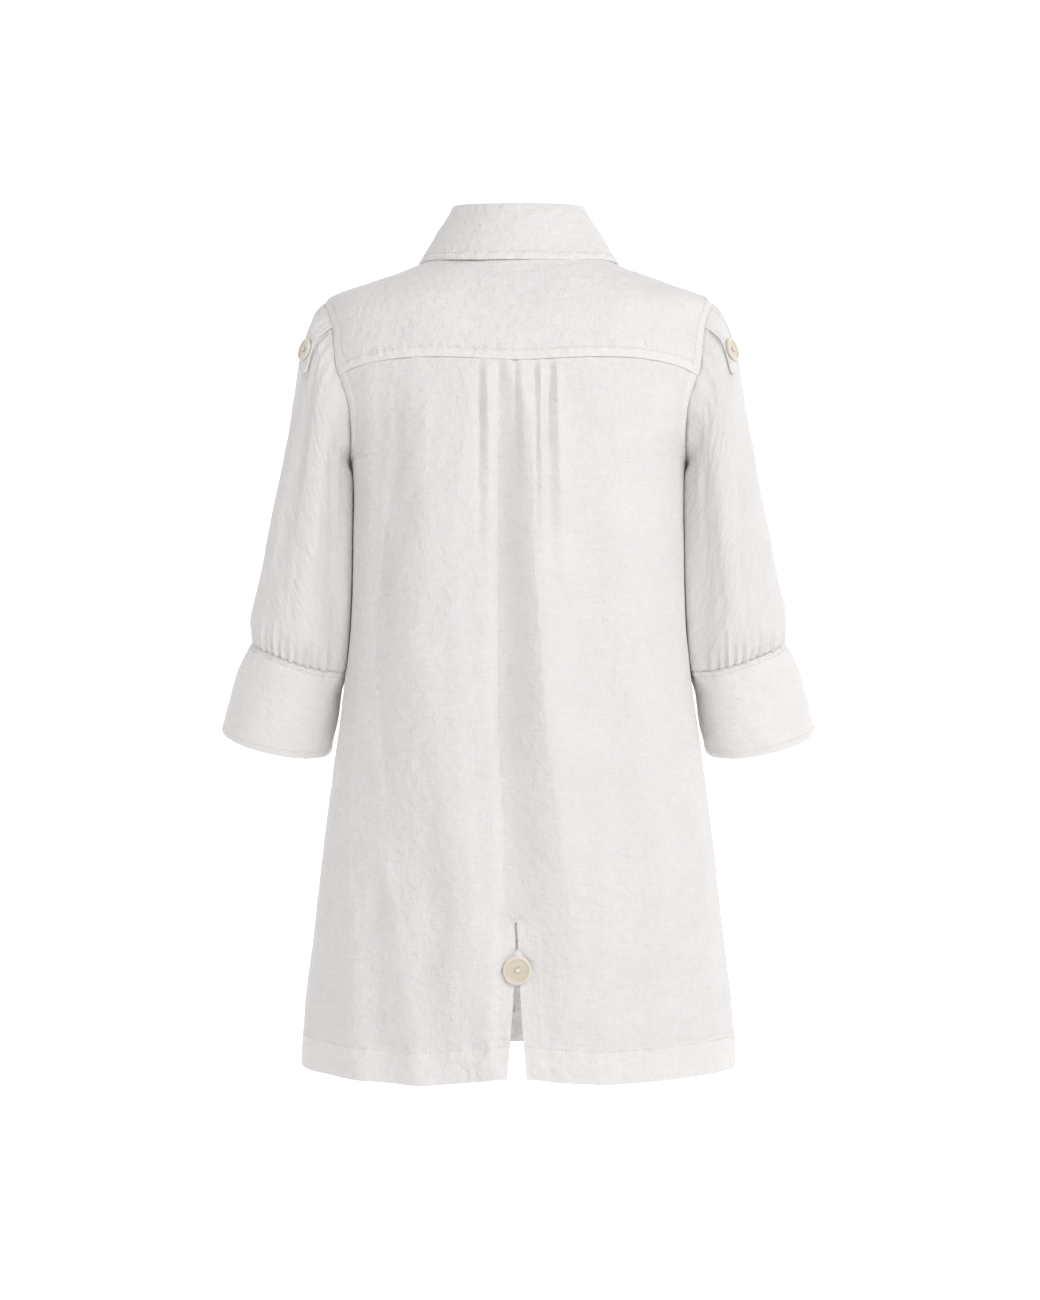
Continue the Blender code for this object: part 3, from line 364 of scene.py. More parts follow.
class ShirtSizes(bpy.types.PropertyGroup):
    """Sizes that a maker would change."""

    cloth: FloatProperty(name="Cloth", description="Thickness of one layer of linen", default=0.0009,
                         unit="LENGTH")
    rumple: FloatProperty(name="Rumple", description="How crumpled the linen is, 1 as in wear", default=1.0)
    stitch_pitch: FloatProperty(name="Stitch pitch", description="From one stitch to the next",
                                default=0.0034, unit="LENGTH")
    stitch_length: FloatProperty(name="Stitch length", description="Length of one stitch", default=0.0026,
                                 unit="LENGTH")
    stitch_width: FloatProperty(name="Stitch width", description="Width of the sewing thread",
                                default=0.0013, unit="LENGTH")
    seed: IntProperty(name="Seed", description="Chooses the pattern of the fine rumples", default=7)


class ShirtColours(bpy.types.PropertyGroup):
    """Colours that a maker would change."""

    linen: FloatVectorProperty(name="Linen", description="Bleached linen", subtype="COLOR",
                               default=linear("#F2F0EF"), min=0, max=1)
    thread: FloatVectorProperty(name="Thread", description="Sewing thread", subtype="COLOR",
                                default=linear("#FCFBFA"), min=0, max=1)
    horn: FloatVectorProperty(name="Horn", description="Middle of the buttons", subtype="COLOR",
                              default=linear("#D8CFBA"), min=0, max=1)
    horn_rim: FloatVectorProperty(name="Horn rim", description="Pale parts of the buttons", subtype="COLOR",
                                  default=linear("#E6E0D0"), min=0, max=1)
    floor: FloatVectorProperty(name="Floor", description="Paper sweep behind the shirt", subtype="COLOR",
                               default=linear("#FBFBFB"), min=0, max=1)


def sizes():
    return bpy.context.scene.shirt_sizes


def colours():
    return bpy.context.scene.shirt_colours


# Shape functions, most of them the same as the solids'


def spline(rows, level):
    """Values of a table at fractional row numbers, on a smooth curve through its rows."""
    table = np.array(rows, float)
    level = np.clip(np.asarray(level, float), 0, len(table) - 1)
    base = np.minimum(level.astype(int), len(table) - 2)
    t = (level - base)[..., None]
    last = len(table) - 1
    before = table[np.maximum(base - 1, 0)]
    here = table[base]
    there = table[base + 1]
    after = table[np.minimum(base + 2, last)]
    start = (there - before) / 2
    end = (after - here) / 2
    square = t * t
    cube = square * t
    return ((2 * cube - 3 * square + 1) * here + (cube - 2 * square + t) * start
            + (3 * square - 2 * cube) * there + (cube - square) * end)


def ring(rows, angle, level):
    """Point of a rounded ring round the body; angle 0 is the wearer's left, a quarter turn the back."""
    side_z, half, back_y, back_z, front_y, front_z, squareness = np.moveaxis(spline(rows, level), -1, 0)
    across, along = np.cos(angle), np.sin(angle)
    power = 2 / squareness
    rear = along >= 0
    x = half * np.sign(across) * np.abs(across) ** power
    y = np.where(rear, back_y, front_y) * np.abs(along) ** power
    z = side_z + (np.where(rear, back_z, front_z) - side_z) * np.abs(along) ** SHOULDER_ROUNDING
    return np.stack([x, y, z], -1)


def body(angle, level):
    """Point of the body's outer surface before its folds."""
    angle, level = np.broadcast_arrays(angle, level)
    return ring(BODY_ROWS, angle, level)


def level_at(angle, height, low=0.0, high=NECK_ROW):
    """Row number at which the body stands at a height, at the given angles."""
    angle, height = np.broadcast_arrays(np.asarray(angle, float), np.asarray(height, float))
    below = np.full(angle.shape, low)
    above = np.full(angle.shape, high)
    for _ in range(40):
        middle = (below + above) / 2
        under = body(angle, middle)[..., 2] < height
        below = np.where(under, middle, below)
        above = np.where(under, above, middle)
    return (below + above) / 2


def angle_at(offset, level):
    """Angle from the centre front or back at which the body is that far from the centre plane."""
    row = spline(BODY_ROWS, level)
    share = np.abs(offset) / row[..., 1]
    return np.arcsin(np.clip(share, 0, 1) ** (row[..., 6] / 2)) * np.sign(offset)


def armhole(around):
    """Angle and level of the armhole's points: 0 is the shoulder, a quarter turn the back."""
    depth = np.where(np.sin(around) >= 0, ARMHOLE_BACK, -ARMHOLE_FRONT) * np.sin(around)
    height = (ARMHOLE_TOP + ARMHOLE_LOW) / 2 + (ARMHOLE_TOP - ARMHOLE_LOW) / 2 * np.cos(around)
    angle = np.zeros(around.shape)
    for _ in range(30):
        level = level_at(angle, height, UNDERARM_ROW - 1, SHOULDER_ROW + 0.6)
        row = spline(BODY_ROWS, level)
        reach = np.where(depth >= 0, row[..., 2], -row[..., 4])
        angle = np.sign(depth) * np.arcsin(np.clip(np.abs(depth) / reach, 0, 1) ** (row[..., 6] / 2))
    return angle, level


def smooth_step(value, low, high):
    """0 below low, 1 above high and a soft step between."""
    share = np.clip((value - low) / (high - low), 0, 1)
    return share * share * (3 - 2 * share)


def leaning(rows, x, z):
    """Height of one fold that leans over, sharp in its groove and soft on its ridge."""
    down = [-row[0] for row in rows]
    groove_x, ridge_x, dip, rise = (np.interp(-z, down, [row[k] for row in rows]) for k in range(1, 5))
    ends = smooth_step(-z, down[0] - 4, down[0] + 4) if rows[0][3] else 1.0
    along = (groove_x - x) / (groove_x - ridge_x)
    slope = np.clip(along, 0, 1)
    slope = 0.6 * slope + 0.4 * slope * slope * (3 - 2 * slope)
    steep = np.exp(-np.maximum(x - groove_x, 0) / 3.2)
    beyond = np.exp(-(np.maximum(along - 1, 0) / 0.75) ** 2)
    return ends * np.where(along < 0, -dip * steep, (-dip + (dip + rise) * slope) * beyond)


def folds(table, x, z):
    """Height of soft folds that die out at both ends, or run out through the hem."""
    total = np.zeros(np.shape(x))
    for top_x, top_z, low_x, low_z, top_width, low_width, depth in table:
        share = np.clip((top_z - z) / (top_z - low_z), 0, 1)
        middle = top_x + (low_x - top_x) * share
        width = top_width + (low_width - top_width) * share
        fade = smooth_step(share, 0, 0.45) * (1 - smooth_step(share, 0.8, 1.15))
        total = total + depth * fade * np.exp(-((x - middle) / width) ** 2)
    return total


def normals(grid, closed=False):
    """Unit normals of a grid of points; columns run round the piece and rows run up it."""
    if closed:
        wide = np.concatenate([grid[:, -1:], grid, grid[:, :1]], 1)
        across = wide[:, 2:] - wide[:, :-2]
    else:
        across = np.gradient(grid, axis=1)
    normal = np.cross(across, np.gradient(grid, axis=0))
    return normal / np.maximum(np.linalg.norm(normal, axis=-1, keepdims=True), 1e-9)


def level_direction(normal):
    """Unit normals turned level, for a piece that laps over another."""
    flat = normal * np.array([1.0, 1.0, 0.0])
    return flat / np.maximum(np.linalg.norm(flat, axis=-1, keepdims=True), 1e-9)


def back_seam_height(share):
    """Height of the yoke seam, from its centre (0) to the armhole (1 or -1)."""
    ends = (ARMHOLE_TOP + ARMHOLE_LOW) / 2
    share = np.abs(share)
    rise = YOKE_RISE * np.sin(math.pi * share) * (1 - share * 0.3)
    return YOKE_CENTRE_Z + rise + (ends - YOKE_CENTRE_Z) * share ** 3


def arm_rings(rows, around):
    """Rings of a sleeve or cuff: the outer edge is at 0, the back at a quarter turn."""
    rings = []
    for outer_x, outer_z, inner_x, inner_z, middle_y, half_depth, back_drop, squareness in rows:
        power = 2 / squareness
        reach = np.sign(np.cos(around)) * np.abs(np.cos(around)) ** power
        depth = np.sign(np.sin(around)) * np.abs(np.sin(around)) ** power
        x = (outer_x + inner_x) / 2 + (outer_x - inner_x) / 2 * reach
        z = (outer_z + inner_z) / 2 + (outer_z - inner_z) / 2 * reach - back_drop * depth
        rings.append(np.stack([x, middle_y + half_depth * depth, z], -1))
    return np.array(rings)


def sleeve_surface(around, levels):
    """Smooth outer surface of the left sleeve at the given levels, armhole first."""
    angle, level = armhole(around)
    rings = np.concatenate([body(angle, level)[None], arm_rings(SLEEVE_ROWS, around)])
    flat = rings.reshape(len(rings), -1)
    return spline(flat, np.array(levels)).reshape(len(levels), len(around), 3)


# Fine shape of the cloth


def rumple(u, v, size_u, size_v, seed, turn=0.0):
    """Smooth random height from -1 to 1, with bumps of about these sizes, turned by an angle."""
    a = (u * math.cos(turn) + v * math.sin(turn)) / size_u
    b = (v * math.cos(turn) - u * math.sin(turn)) / size_v
    a, b = a - a.min(), b - b.min()
    table = np.random.RandomState(seed).uniform(-1, 1, (int(a.max()) + 4, int(b.max()) + 4))
    i, j = a.astype(int), b.astype(int)
    s, t = smooth_step(a - i, 0, 1), smooth_step(b - j, 0, 1)
    low = table[i, j] * (1 - s) + table[i + 1, j] * s
    high = table[i, j + 1] * (1 - s) + table[i + 1, j + 1] * s
    return low * (1 - t) + high * t


# Rumples of worn linen, long ones down the cloth and short sharp ones across it
# across  along  turn  height  ridged
RUMPLES = [
    (46.0, 150.0, 0.10, 1.6, False),
    (28.0, 80.0, -0.22, 1.35, False),
    (22.0, 46.0, 0.35, 0.66, True),
    (12.0, 30.0, -0.3, 0.42, True),
    (30.0, 9.0, 0.12, 0.34, True),
    (8.0, 14.0, 0.9, 0.26, False),
]


def crumple(u, v, seed):
    """Height of the rumples of worn linen, in millimetres, crisper in some places than in others."""
    total = np.zeros(u.shape)
    for number, (across, along, turn, height, ridged) in enumerate(RUMPLES):
        bumps = rumple(u, v, across, along, seed + 31 * number, turn)
        if ridged:
            bumps = 0.5 - np.sqrt(bumps * bumps + 0.02) * 2
            bumps = bumps * (0.75 + 0.6 * rumple(u, v, 60.0, 60.0, seed + 7 + 31 * number))
        total += height * bumps
    return total * sizes().rumple


def pucker(along, apart, reach, pitch, height, seed):
    """Small ripples square to a line of sewing, which die out away from it."""
    ripple = rumple(along, apart, pitch, reach * 3, seed)
    return height * ripple * np.exp(-(apart / reach) ** 2)


def groove(apart, depth=0.9, width=1.5):
    """Dent that the stitches pull into the cloth."""
    return -depth * np.exp(-(apart / width) ** 2)


def run_length(grid, axis):
    """Length along the rows or columns of a grid, from its start."""
    step = np.linalg.norm(np.diff(grid, axis=axis), axis=-1)
    start = np.zeros_like(np.take(step, [0], axis))
    return np.concatenate([start, np.cumsum(step, axis)], axis)


class Cloth:
    """One cut piece of linen as a grid: its base, its way out, its lengths and its heights.

    first, last, low and top are the lengths to each point from the four edges. height moves the whole
    cloth, and over and under thicken it. A further grid says where it has more than one layer, and so how
    much
    less painted shade it gets: the material paints single layers darker, as painted shade for the light
    that shows through one layer. girth is across, with the first column's length once round added on a
    closed piece.
    """

    def __init__(self, base, outward, closed=False):
        self.base = base
        self.closed = closed
        self.normal = normals(base, closed)
        middle = tuple(n // 2 for n in base.shape[:2])
        self.normal *= np.sign(np.dot(self.normal[middle], outward))
        looped = np.concatenate([base, base[:, :1]], 1) if closed else base
        lengths = run_length(looped, 1)
        self.girth = lengths
        self.across = lengths[:, :base.shape[1]]
        self.up = run_length(base, 0)
        self.height = np.zeros(base.shape[:2])
        self.over = np.zeros(base.shape[:2])
        self.under = np.zeros(base.shape[:2])
        self.doubled_painted_light = np.zeros(base.shape[:2])

    @property
    def first(self):
        return self.across

    @property
    def last(self):
        return self.across[:, -1:] - self.across

    @property
    def low(self):
        return self.up

    @property
    def top(self):
        return self.up[-1:] - self.up

    def outer(self):
        return self.base + self.normal * (self.height + self.over)[..., None]

    def inner(self):
        thick = sizes().cloth / MM
        return self.base + self.normal * (self.height - thick - self.under)[..., None]

    def roll(self, apart, depth=1.1, reach=2.6):
        """Turns the cloth in along a seam."""
        self.height -= depth * (1 - smooth_step(apart, 0, reach))

    def tuck(self, edge, distance, depth):
        """Runs one edge row on under the piece beside it."""
        last, inner = (0, 1) if edge == "low" else (-1, -2)
        way = self.base[last] - self.base[inner]
        way /= np.maximum(np.linalg.norm(way, axis=-1, keepdims=True), 1e-9)
        self.base[last] += way * distance
        self.height[last] = self.height[inner] - depth

    def band(self, apart, wide, thick, line=None):
        """Doubles the cloth beside an edge, raised and sewn down along a line."""
        on = 1 - smooth_step(apart, wide, wide + 1.6)
        self.over += (thick - self.over) * on
        # painted light: cloth in the band is drawn brighter than a single layer
        self.doubled_painted_light = np.maximum(self.doubled_painted_light, on)
        self.over += groove(apart - (wide if line is None else line))

    def sample(self, row, column, clear=0.0):
        """Points and normals of the finished outside at fractional rows and columns."""
        outer = self.outer()
        rows, columns = outer.shape[:2]
        if self.closed:
            outer = np.concatenate([outer, outer[:, :1]], 1)
            columns += 1
        normal = normals(outer)
        normal = normal * np.sign(np.sum(normal * np.concatenate(
            [self.normal, self.normal[:, :columns - self.normal.shape[1]]], 1), -1, keepdims=True))
        row = np.clip(row, 0, rows - 1.001)
        column = np.clip(column, 0, columns - 1.001)
        r, c = row.astype(int), column.astype(int)
        s, t = (row - r)[:, None], (column - c)[:, None]

        def blend(grid):
            low = grid[r, c] * (1 - t) + grid[r, c + 1] * t
            high = grid[r + 1, c] * (1 - t) + grid[r + 1, c + 1] * t
            return low * (1 - s) + high * s

        way = blend(normal)
        way = way / np.maximum(np.linalg.norm(way, axis=-1, keepdims=True), 1e-9)
        return blend(outer) + way * clear, way

    def beside(self, edge, distance, start=0.0, end=1.0):
        """Fractional rows and columns of a line at one distance from an edge."""
        rows, columns = self.base.shape[:2]
        if edge in ("low", "top"):
            picked = np.arange(columns + (1 if self.closed else 0), dtype=float)
            field = getattr(self, edge)
            order = slice(None) if edge == "low" else slice(None, None, -1)
            numbers = np.arange(rows)[order]
            row = [np.interp(distance, field[order, int(c) % columns], numbers) for c in picked]
            keep = slice(int(start * (len(picked) - 1)), int(end * (len(picked) - 1)) + 1)
            return np.array(row)[keep], picked[keep]
        picked = np.arange(rows, dtype=float)
        field = getattr(self, edge)
        order = slice(None) if edge == "first" else slice(None, None, -1)
        numbers = np.arange(columns)[order]
        column = [np.interp(distance, field[int(r), order], numbers) for r in picked]
        keep = slice(int(start * (rows - 1)), int(end * (rows - 1)) + 1)
        return picked[keep], np.array(column)[keep]


def wall(name, cloth, slit=None, mirror=False):
    """Closed thin wall of one piece of cloth, with a UV map in metres along its threads.

    slit is (column, rows): up to that many rows, that column and the next are the edges of a slit.
    """
    outer, inner = cloth.outer(), cloth.inner()
    rows, columns = outer.shape[:2]
    wide = columns + 1 if cloth.closed else columns
    spot = np.arange(rows * wide).reshape(rows, wide)
    point = np.arange(rows * columns).reshape(rows, columns)
    if cloth.closed:
        point = np.concatenate([point, point[:, :1]], 1)
    if slit:
        point[slit[1]:, slit[0] + 1] = point[slit[1]:, slit[0]]
    u = cloth.girth - cloth.girth[:, wide // 2:wide // 2 + 1]
    v = np.concatenate([cloth.up, cloth.up[:, :1]], 1) if cloth.closed else cloth.up
    uv = np.stack([u, v], -1).reshape(-1, 2) * MM
    corners = np.stack([spot[:-1, :-1], spot[:-1, 1:], spot[1:, 1:], spot[1:, :-1]], -1)
    if slit:
        corners = np.delete(corners, slit[0], 1)
    corners = corners.reshape(-1, 4)
    flat = outer.reshape(-1, 3)
    some = point.ravel()[corners[::97]]
    facing = np.cross(flat[some[:, 1]] - flat[some[:, 0]], flat[some[:, 3]] - flat[some[:, 0]])
    way = flat[some[:, 0]] - inner.reshape(-1, 3)[some[:, 0]]
    if (np.sum(facing * way) < 0) != mirror:
        corners = corners[:, ::-1]
    total = rows * columns
    starts, ends = corners.ravel(), np.roll(corners, -1, 1).ravel()
    a, b = point.ravel()[starts].astype(np.int64), point.ravel()[ends].astype(np.int64)
    lone = ~np.isin(a * total + b, b * total + a)
    rim_spots = np.stack([ends[lone], starts[lone], starts[lone], ends[lone]], -1)
    rim_points = np.stack([b[lone], a[lone], a[lone] + total, b[lone] + total], -1)
    front = point.ravel()[corners]
    back = point.ravel()[corners[:, ::-1]] + total
    faces = np.concatenate([front, back, rim_points])
    spots = np.concatenate([corners, corners[:, ::-1], rim_spots])
    places = np.concatenate([flat, inner.reshape(-1, 3)]) * MM
    if mirror:
        places = places * np.array([-1.0, 1.0, 1.0])
    used, fresh = np.unique(faces, return_inverse=True)
    mesh = bpy.data.meshes.new(name)
    mesh.from_pydata(places[used].tolist(), [], fresh.reshape(faces.shape).tolist())
    layer = mesh.uv_layers.new(name="threads")
    layer.data.foreach_set("uv", uv[spots.ravel()].astype(np.float32).ravel())
    doubled_painted_light = np.tile(cloth.doubled_painted_light.ravel(), 2)[used].astype(np.float32)
    mesh.attributes.new("doubled_painted_light", "FLOAT", "POINT").data.foreach_set("value", doubled_painted_light)
    mesh.shade_smooth()
    mesh.set_sharp_from_angle(angle=math.radians(50))
    mesh.materials.append(linen_material())
    return add_piece(name, mesh)


def add_piece(name, mesh):
    """Links a finished mesh as a piece that moves with the shirt."""
    piece = bpy.data.objects.new(name, mesh)
    bpy.context.scene.collection.objects.link(piece)
    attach(piece, "root")
    return piece


# Stitches

STITCH_RINGS = ((-0.62, 0.78), (0.0, 1.0), (0.62, 0.78))
STITCH_SIDES = ((1.0, 0.0), (0.0, 1.0), (-1.0, 0.0), (0.0, -1.0))
STITCH_CLEAR = 0.5          # height of a stitch's middle over the cloth


def stitch_shape():
    """Points and faces of one stitch of length and width 2, its ends dipping into the cloth."""
    points = [(-1.0, 0.0, -0.9)]
    for place, girth in STITCH_RINGS:
        points += [(place, side * girth, rise * girth) for side, rise in STITCH_SIDES]
    points.append((1.0, 0.0, -0.9))
    faces = []
    sides = len(STITCH_SIDES)
    last = len(points) - 1
    for s in range(sides):
        n = (s + 1) % sides
        faces.append((0, 1 + n, 1 + s))
        for r in range(len(STITCH_RINGS) - 1):
            low, high = 1 + r * sides, 1 + (r + 1) * sides
            faces.append((low + s, low + n, high + n))
            faces.append((low + s, high + n, high + s))
        high = last - sides
        faces.append((last, high + s, high + n))
    return np.array(points), np.array(faces)


class Sewing:
    """Collects stitches along lines and joins them into one mesh."""

    def __init__(self):
        self.centres, self.ways, self.ups, self.scales = [], [], [], []

    def line(self, points, ways, pitch=None, length=None):
        """Lays a row of stitches along a line on the cloth."""
        pitch = pitch or sizes().stitch_pitch / MM
        length = length or sizes().stitch_length / MM
        run = run_length(points, 0)
        count = max(1, int(round(run[-1] / pitch)))
        stops = (np.arange(count) + 0.5) * run[-1] / count
        at = np.stack([np.interp(stops, run, points[:, k]) for k in range(3)], -1)
        ahead = np.stack([np.interp(stops + pitch / 2, run, points[:, k]) for k in range(3)], -1)
        behind = np.stack([np.interp(stops - pitch / 2, run, points[:, k]) for k in range(3)], -1)
        up = np.stack([np.interp(stops, run, ways[:, k]) for k in range(3)], -1)
        way = ahead - behind
        way = way / np.maximum(np.linalg.norm(way, axis=-1, keepdims=True), 1e-9)
        self.centres.append(at)
        self.ways.append(way)
        self.ups.append(up)
        self.scales.append(np.full(count, length / 2))

    def on(self, cloth, edge, distance, start=0.0, end=1.0):
        """Lays a row of stitches beside an edge of a piece of cloth."""
        self.line(*cloth.sample(*cloth.beside(edge, distance, start, end), STITCH_CLEAR))

    def join(self, name, mirror=False):
        """Makes the mesh."""
        points, faces = stitch_shape()
        centre, way, up = (np.concatenate(part) for part in (self.centres, self.ways, self.ups))
        half = np.concatenate(self.scales)
        girth = sizes().stitch_width / MM / 2
        side = np.cross(up, way)
        side /= np.maximum(np.linalg.norm(side, axis=-1, keepdims=True), 1e-9)
        up = np.cross(way, side)
        made = (centre[:, None] + points[None, :, :1] * (way * half[:, None])[:, None]
                + points[None, :, 1:2] * girth * side[:, None]
                + points[None, :, 2:] * girth * 0.8 * up[:, None]).reshape(-1, 3) * MM
        if mirror:
            made *= np.array([-1.0, 1.0, 1.0])
        picked = (faces[None] + (np.arange(len(centre)) * len(points))[:, None, None]).reshape(-1, 3)
        mesh = bpy.data.meshes.new(name)
        mesh.from_pydata(made.tolist(), [], picked.tolist())
        made = bmesh.new()
        made.from_mesh(mesh)
        bmesh.ops.recalc_face_normals(made, faces=made.faces)
        made.to_mesh(mesh)
        made.free()
        mesh.shade_smooth()
        mesh.materials.append(thread_material())
        return add_piece(name, mesh)


# Materials


def add_node(tree, kind, settings=None, inputs=None):
    """Adds a node, sets its properties and its inputs, and links those inputs that are sockets."""
    node = tree.nodes.new(kind)
    for name, value in (settings or {}).items():
        setattr(node, name, value)
    for name, value in (inputs or {}).items():
        if isinstance(value, bpy.types.NodeSocket):
            tree.links.new(value, node.inputs[name])
        else:
            node.inputs[name].default_value = value
    return node


def new_material(name):
    """Material with an empty tree, or the one that is there already."""
    made = bpy.data.materials.get(name)
    if made:
        return made, None
    made = bpy.data.materials.new(name)
    made.use_nodes = True
    made.node_tree.nodes.clear()
    return made, made.node_tree


def opaque(colour, share=1.0):
    return (colour[0] * share, colour[1] * share, colour[2] * share, 1.0)


# Thread and slub sizes of the linen, in millimetres. The real threads are 0.4 mm apart, too fine to
# show, so the weave is drawn with threads 1.3 mm apart.
THREAD = 1.3
SLUB_LENGTH = 24.0
CLOUD = 45.0
CRINKLE = 9.0
SINGLE_LAYER_SHADE = 0.955        # painted shade: how much darker one layer of linen is drawn beside two, for the light through it


def linen_material():
    """Bleached plain-woven linen, washed: uneven threads both ways, matt with a faint bloom, and painted
    shade that darkens single layers beside those of two layers.
    """
    made, tree = new_material("bleached_linen_plain_weave")
    if tree is None:
        return made
    tint = colours().linen
    place = add_node(tree, "ShaderNodeTexCoord").outputs["UV"]
    weft = add_node(tree, "ShaderNodeMapping", None, {
        "Vector": place, "Scale": (1 / (SLUB_LENGTH * MM), 1 / (THREAD * MM), 1)}).outputs[0]
    warp = add_node(tree, "ShaderNodeMapping", None, {
        "Vector": place, "Scale": (1 / (THREAD * MM), 1 / (SLUB_LENGTH * MM), 1)}).outputs[0]
    across = add_node(tree, "ShaderNodeTexNoise", {"noise_dimensions": "2D"}, {
        "Vector": weft, "Scale": 1.0, "Detail": 2.0, "Roughness": 0.6}).outputs[0]
    down = add_node(tree, "ShaderNodeTexNoise", {"noise_dimensions": "2D"}, {
        "Vector": warp, "Scale": 1.0, "Detail": 2.0, "Roughness": 0.6}).outputs[0]
    fainter = add_node(tree, "ShaderNodeMath", {"operation": "MULTIPLY"}, {0: down, 1: 0.7}).outputs[0]
    threads = add_node(tree, "ShaderNodeMath", {"operation": "ADD"}, {0: across, 1: fainter}).outputs[0]
    crinkle = add_node(tree, "ShaderNodeTexNoise", {"noise_dimensions": "2D"}, {
        "Vector": place, "Scale": 1 / (CRINKLE * MM), "Detail": 4.0, "Roughness": 0.55,
        "Distortion": 0.2}).outputs[0]
    cloud = add_node(tree, "ShaderNodeTexNoise", {"noise_dimensions": "2D"}, {
        "Vector": place, "Scale": 1 / (CLOUD * MM), "Detail": 2.0}).outputs[0]
    shade = add_node(tree, "ShaderNodeMapRange", None, {
        "Value": threads, "From Min": 0.6, "From Max": 1.1, "To Min": 0.0, "To Max": 1.0}).outputs[0]
    woven = add_node(tree, "ShaderNodeMix", {"data_type": "RGBA"}, {
        "Factor": shade, "A": opaque(tint, 0.965), "B": opaque(tint, 1.01)}).outputs["Result"]
    soft = add_node(tree, "ShaderNodeMapRange", None, {
        "Value": cloud, "From Min": 0.3, "From Max": 0.7, "To Min": 0.975, "To Max": 1.0}).outputs[0]
    colour = add_node(tree, "ShaderNodeMix", {"data_type": "RGBA", "blend_type": "MULTIPLY"}, {
        "Factor": 1.0, "A": woven, "B": soft}).outputs["Result"]
    # painted shade: single layers are drawn darker than two, for the light that shows through one layer
    doubled_painted_light = add_node(tree, "ShaderNodeAttribute", {"attribute_name": "doubled_painted_light"}).outputs["Fac"]
    layers = add_node(tree, "ShaderNodeMapRange", None, {
        "Value": doubled_painted_light, "To Min": SINGLE_LAYER_SHADE, "To Max": 1.0}).outputs[0]
    colour = add_node(tree, "ShaderNodeMix", {"data_type": "RGBA", "blend_type": "MULTIPLY"}, {
        "Factor": 1.0, "A": colour, "B": layers}).outputs["Result"]
    fine = add_node(tree, "ShaderNodeBump", None, {
        "Height": threads, "Strength": 0.6, "Distance": 0.00034}).outputs[0]
    bump = add_node(tree, "ShaderNodeBump", None, {
        "Height": crinkle, "Strength": 0.8, "Distance": 0.0026, "Normal": fine}).outputs[0]
    rough = add_node(tree, "ShaderNodeMapRange", None, {
        "Value": threads, "From Min": 0.7, "From Max": 1.3, "To Min": 0.93, "To Max": 0.82}).outputs[0]
    shader = add_node(tree, "ShaderNodeBsdfPrincipled", None, {
        "Base Color": colour, "Roughness": rough, "Normal": bump, "IOR": 1.45, "Sheen Weight": 0.12,
        "Sheen Roughness": 0.5, "Specular IOR Level": 0.25})
    add_node(tree, "ShaderNodeOutputMaterial", None, {"Surface": shader.outputs[0]})
    return made


def thread_material():
    """Polyester-wrapped cotton sewing thread: smoother than the linen, so it catches more light."""
    made, tree = new_material("corespun_sewing_thread")
    if tree is None:
        return made
    tint = colours().thread
    place = add_node(tree, "ShaderNodeTexCoord").outputs["Object"]
    twist = add_node(tree, "ShaderNodeTexNoise", None, {
        "Vector": place, "Scale": 900.0, "Detail": 1.0}).outputs[0]
    colour = add_node(tree, "ShaderNodeMix", {"data_type": "RGBA"}, {
        "Factor": twist, "A": opaque(tint, 0.93), "B": opaque(tint)}).outputs["Result"]
    shader = add_node(tree, "ShaderNodeBsdfPrincipled", None, {
        "Base Color": colour, "Roughness": 0.6, "IOR": 1.5, "Sheen Weight": 0.1})
    add_node(tree, "ShaderNodeOutputMaterial", None, {"Surface": shader.outputs[0]})
    return made


def horn_material():
    """Cream horn, turned and polished: clouded, satin, paler on the raised rim."""
    made, tree = new_material("polished_cream_horn")
    if tree is None:
        return made
    place = add_node(tree, "ShaderNodeTexCoord").outputs["Object"]
    grain = add_node(tree, "ShaderNodeMapping", None, {
        "Vector": place, "Scale": (90.0, 90.0, 260.0)}).outputs[0]
    streak = add_node(tree, "ShaderNodeTexNoise", None, {
        "Vector": grain, "Scale": 1.0, "Detail": 4.0, "Roughness": 0.6, "Distortion": 1.2}).outputs[0]
    cloud = add_node(tree, "ShaderNodeMapRange", None, {
        "Value": streak, "From Min": 0.32, "From Max": 0.68, "To Min": 0.0, "To Max": 0.3}).outputs[0]
    rim = add_node(tree, "ShaderNodeAttribute", {"attribute_name": "rim"}).outputs["Fac"]
    pale = add_node(tree, "ShaderNodeMath", {"operation": "MAXIMUM"}, {0: cloud, 1: rim}).outputs[0]
    colour = add_node(tree, "ShaderNodeMix", {"data_type": "RGBA"}, {
        "Factor": pale, "A": opaque(colours().horn), "B": opaque(colours().horn_rim)}).outputs["Result"]
    bump = add_node(tree, "ShaderNodeBump", None, {
        "Height": streak, "Strength": 0.15, "Distance": 0.0002}).outputs[0]
    shader = add_node(tree, "ShaderNodeBsdfPrincipled", None, {
        "Base Color": colour, "Roughness": 0.32, "Normal": bump, "IOR": 1.54, "Coat Weight": 0.25,
        "Coat Roughness": 0.2})
    add_node(tree, "ShaderNodeOutputMaterial", None, {"Surface": shader.outputs[0]})
    return made


# Pieces


def hem_wave(base, seed, height=1.4, reach=90.0):
    """Lets the hem rise and fall a little, as cloth does between its folds."""
    along = run_length(base, 1)
    share = 1 - smooth_step(base[..., 2], HEM_Z, HEM_Z + reach)
    base[..., 2] += height * share * rumple(along, 0 * along, 62.0, 50.0, seed)
    base[..., 2] += share * np.interp(base[..., 0], *HEM_DROP)


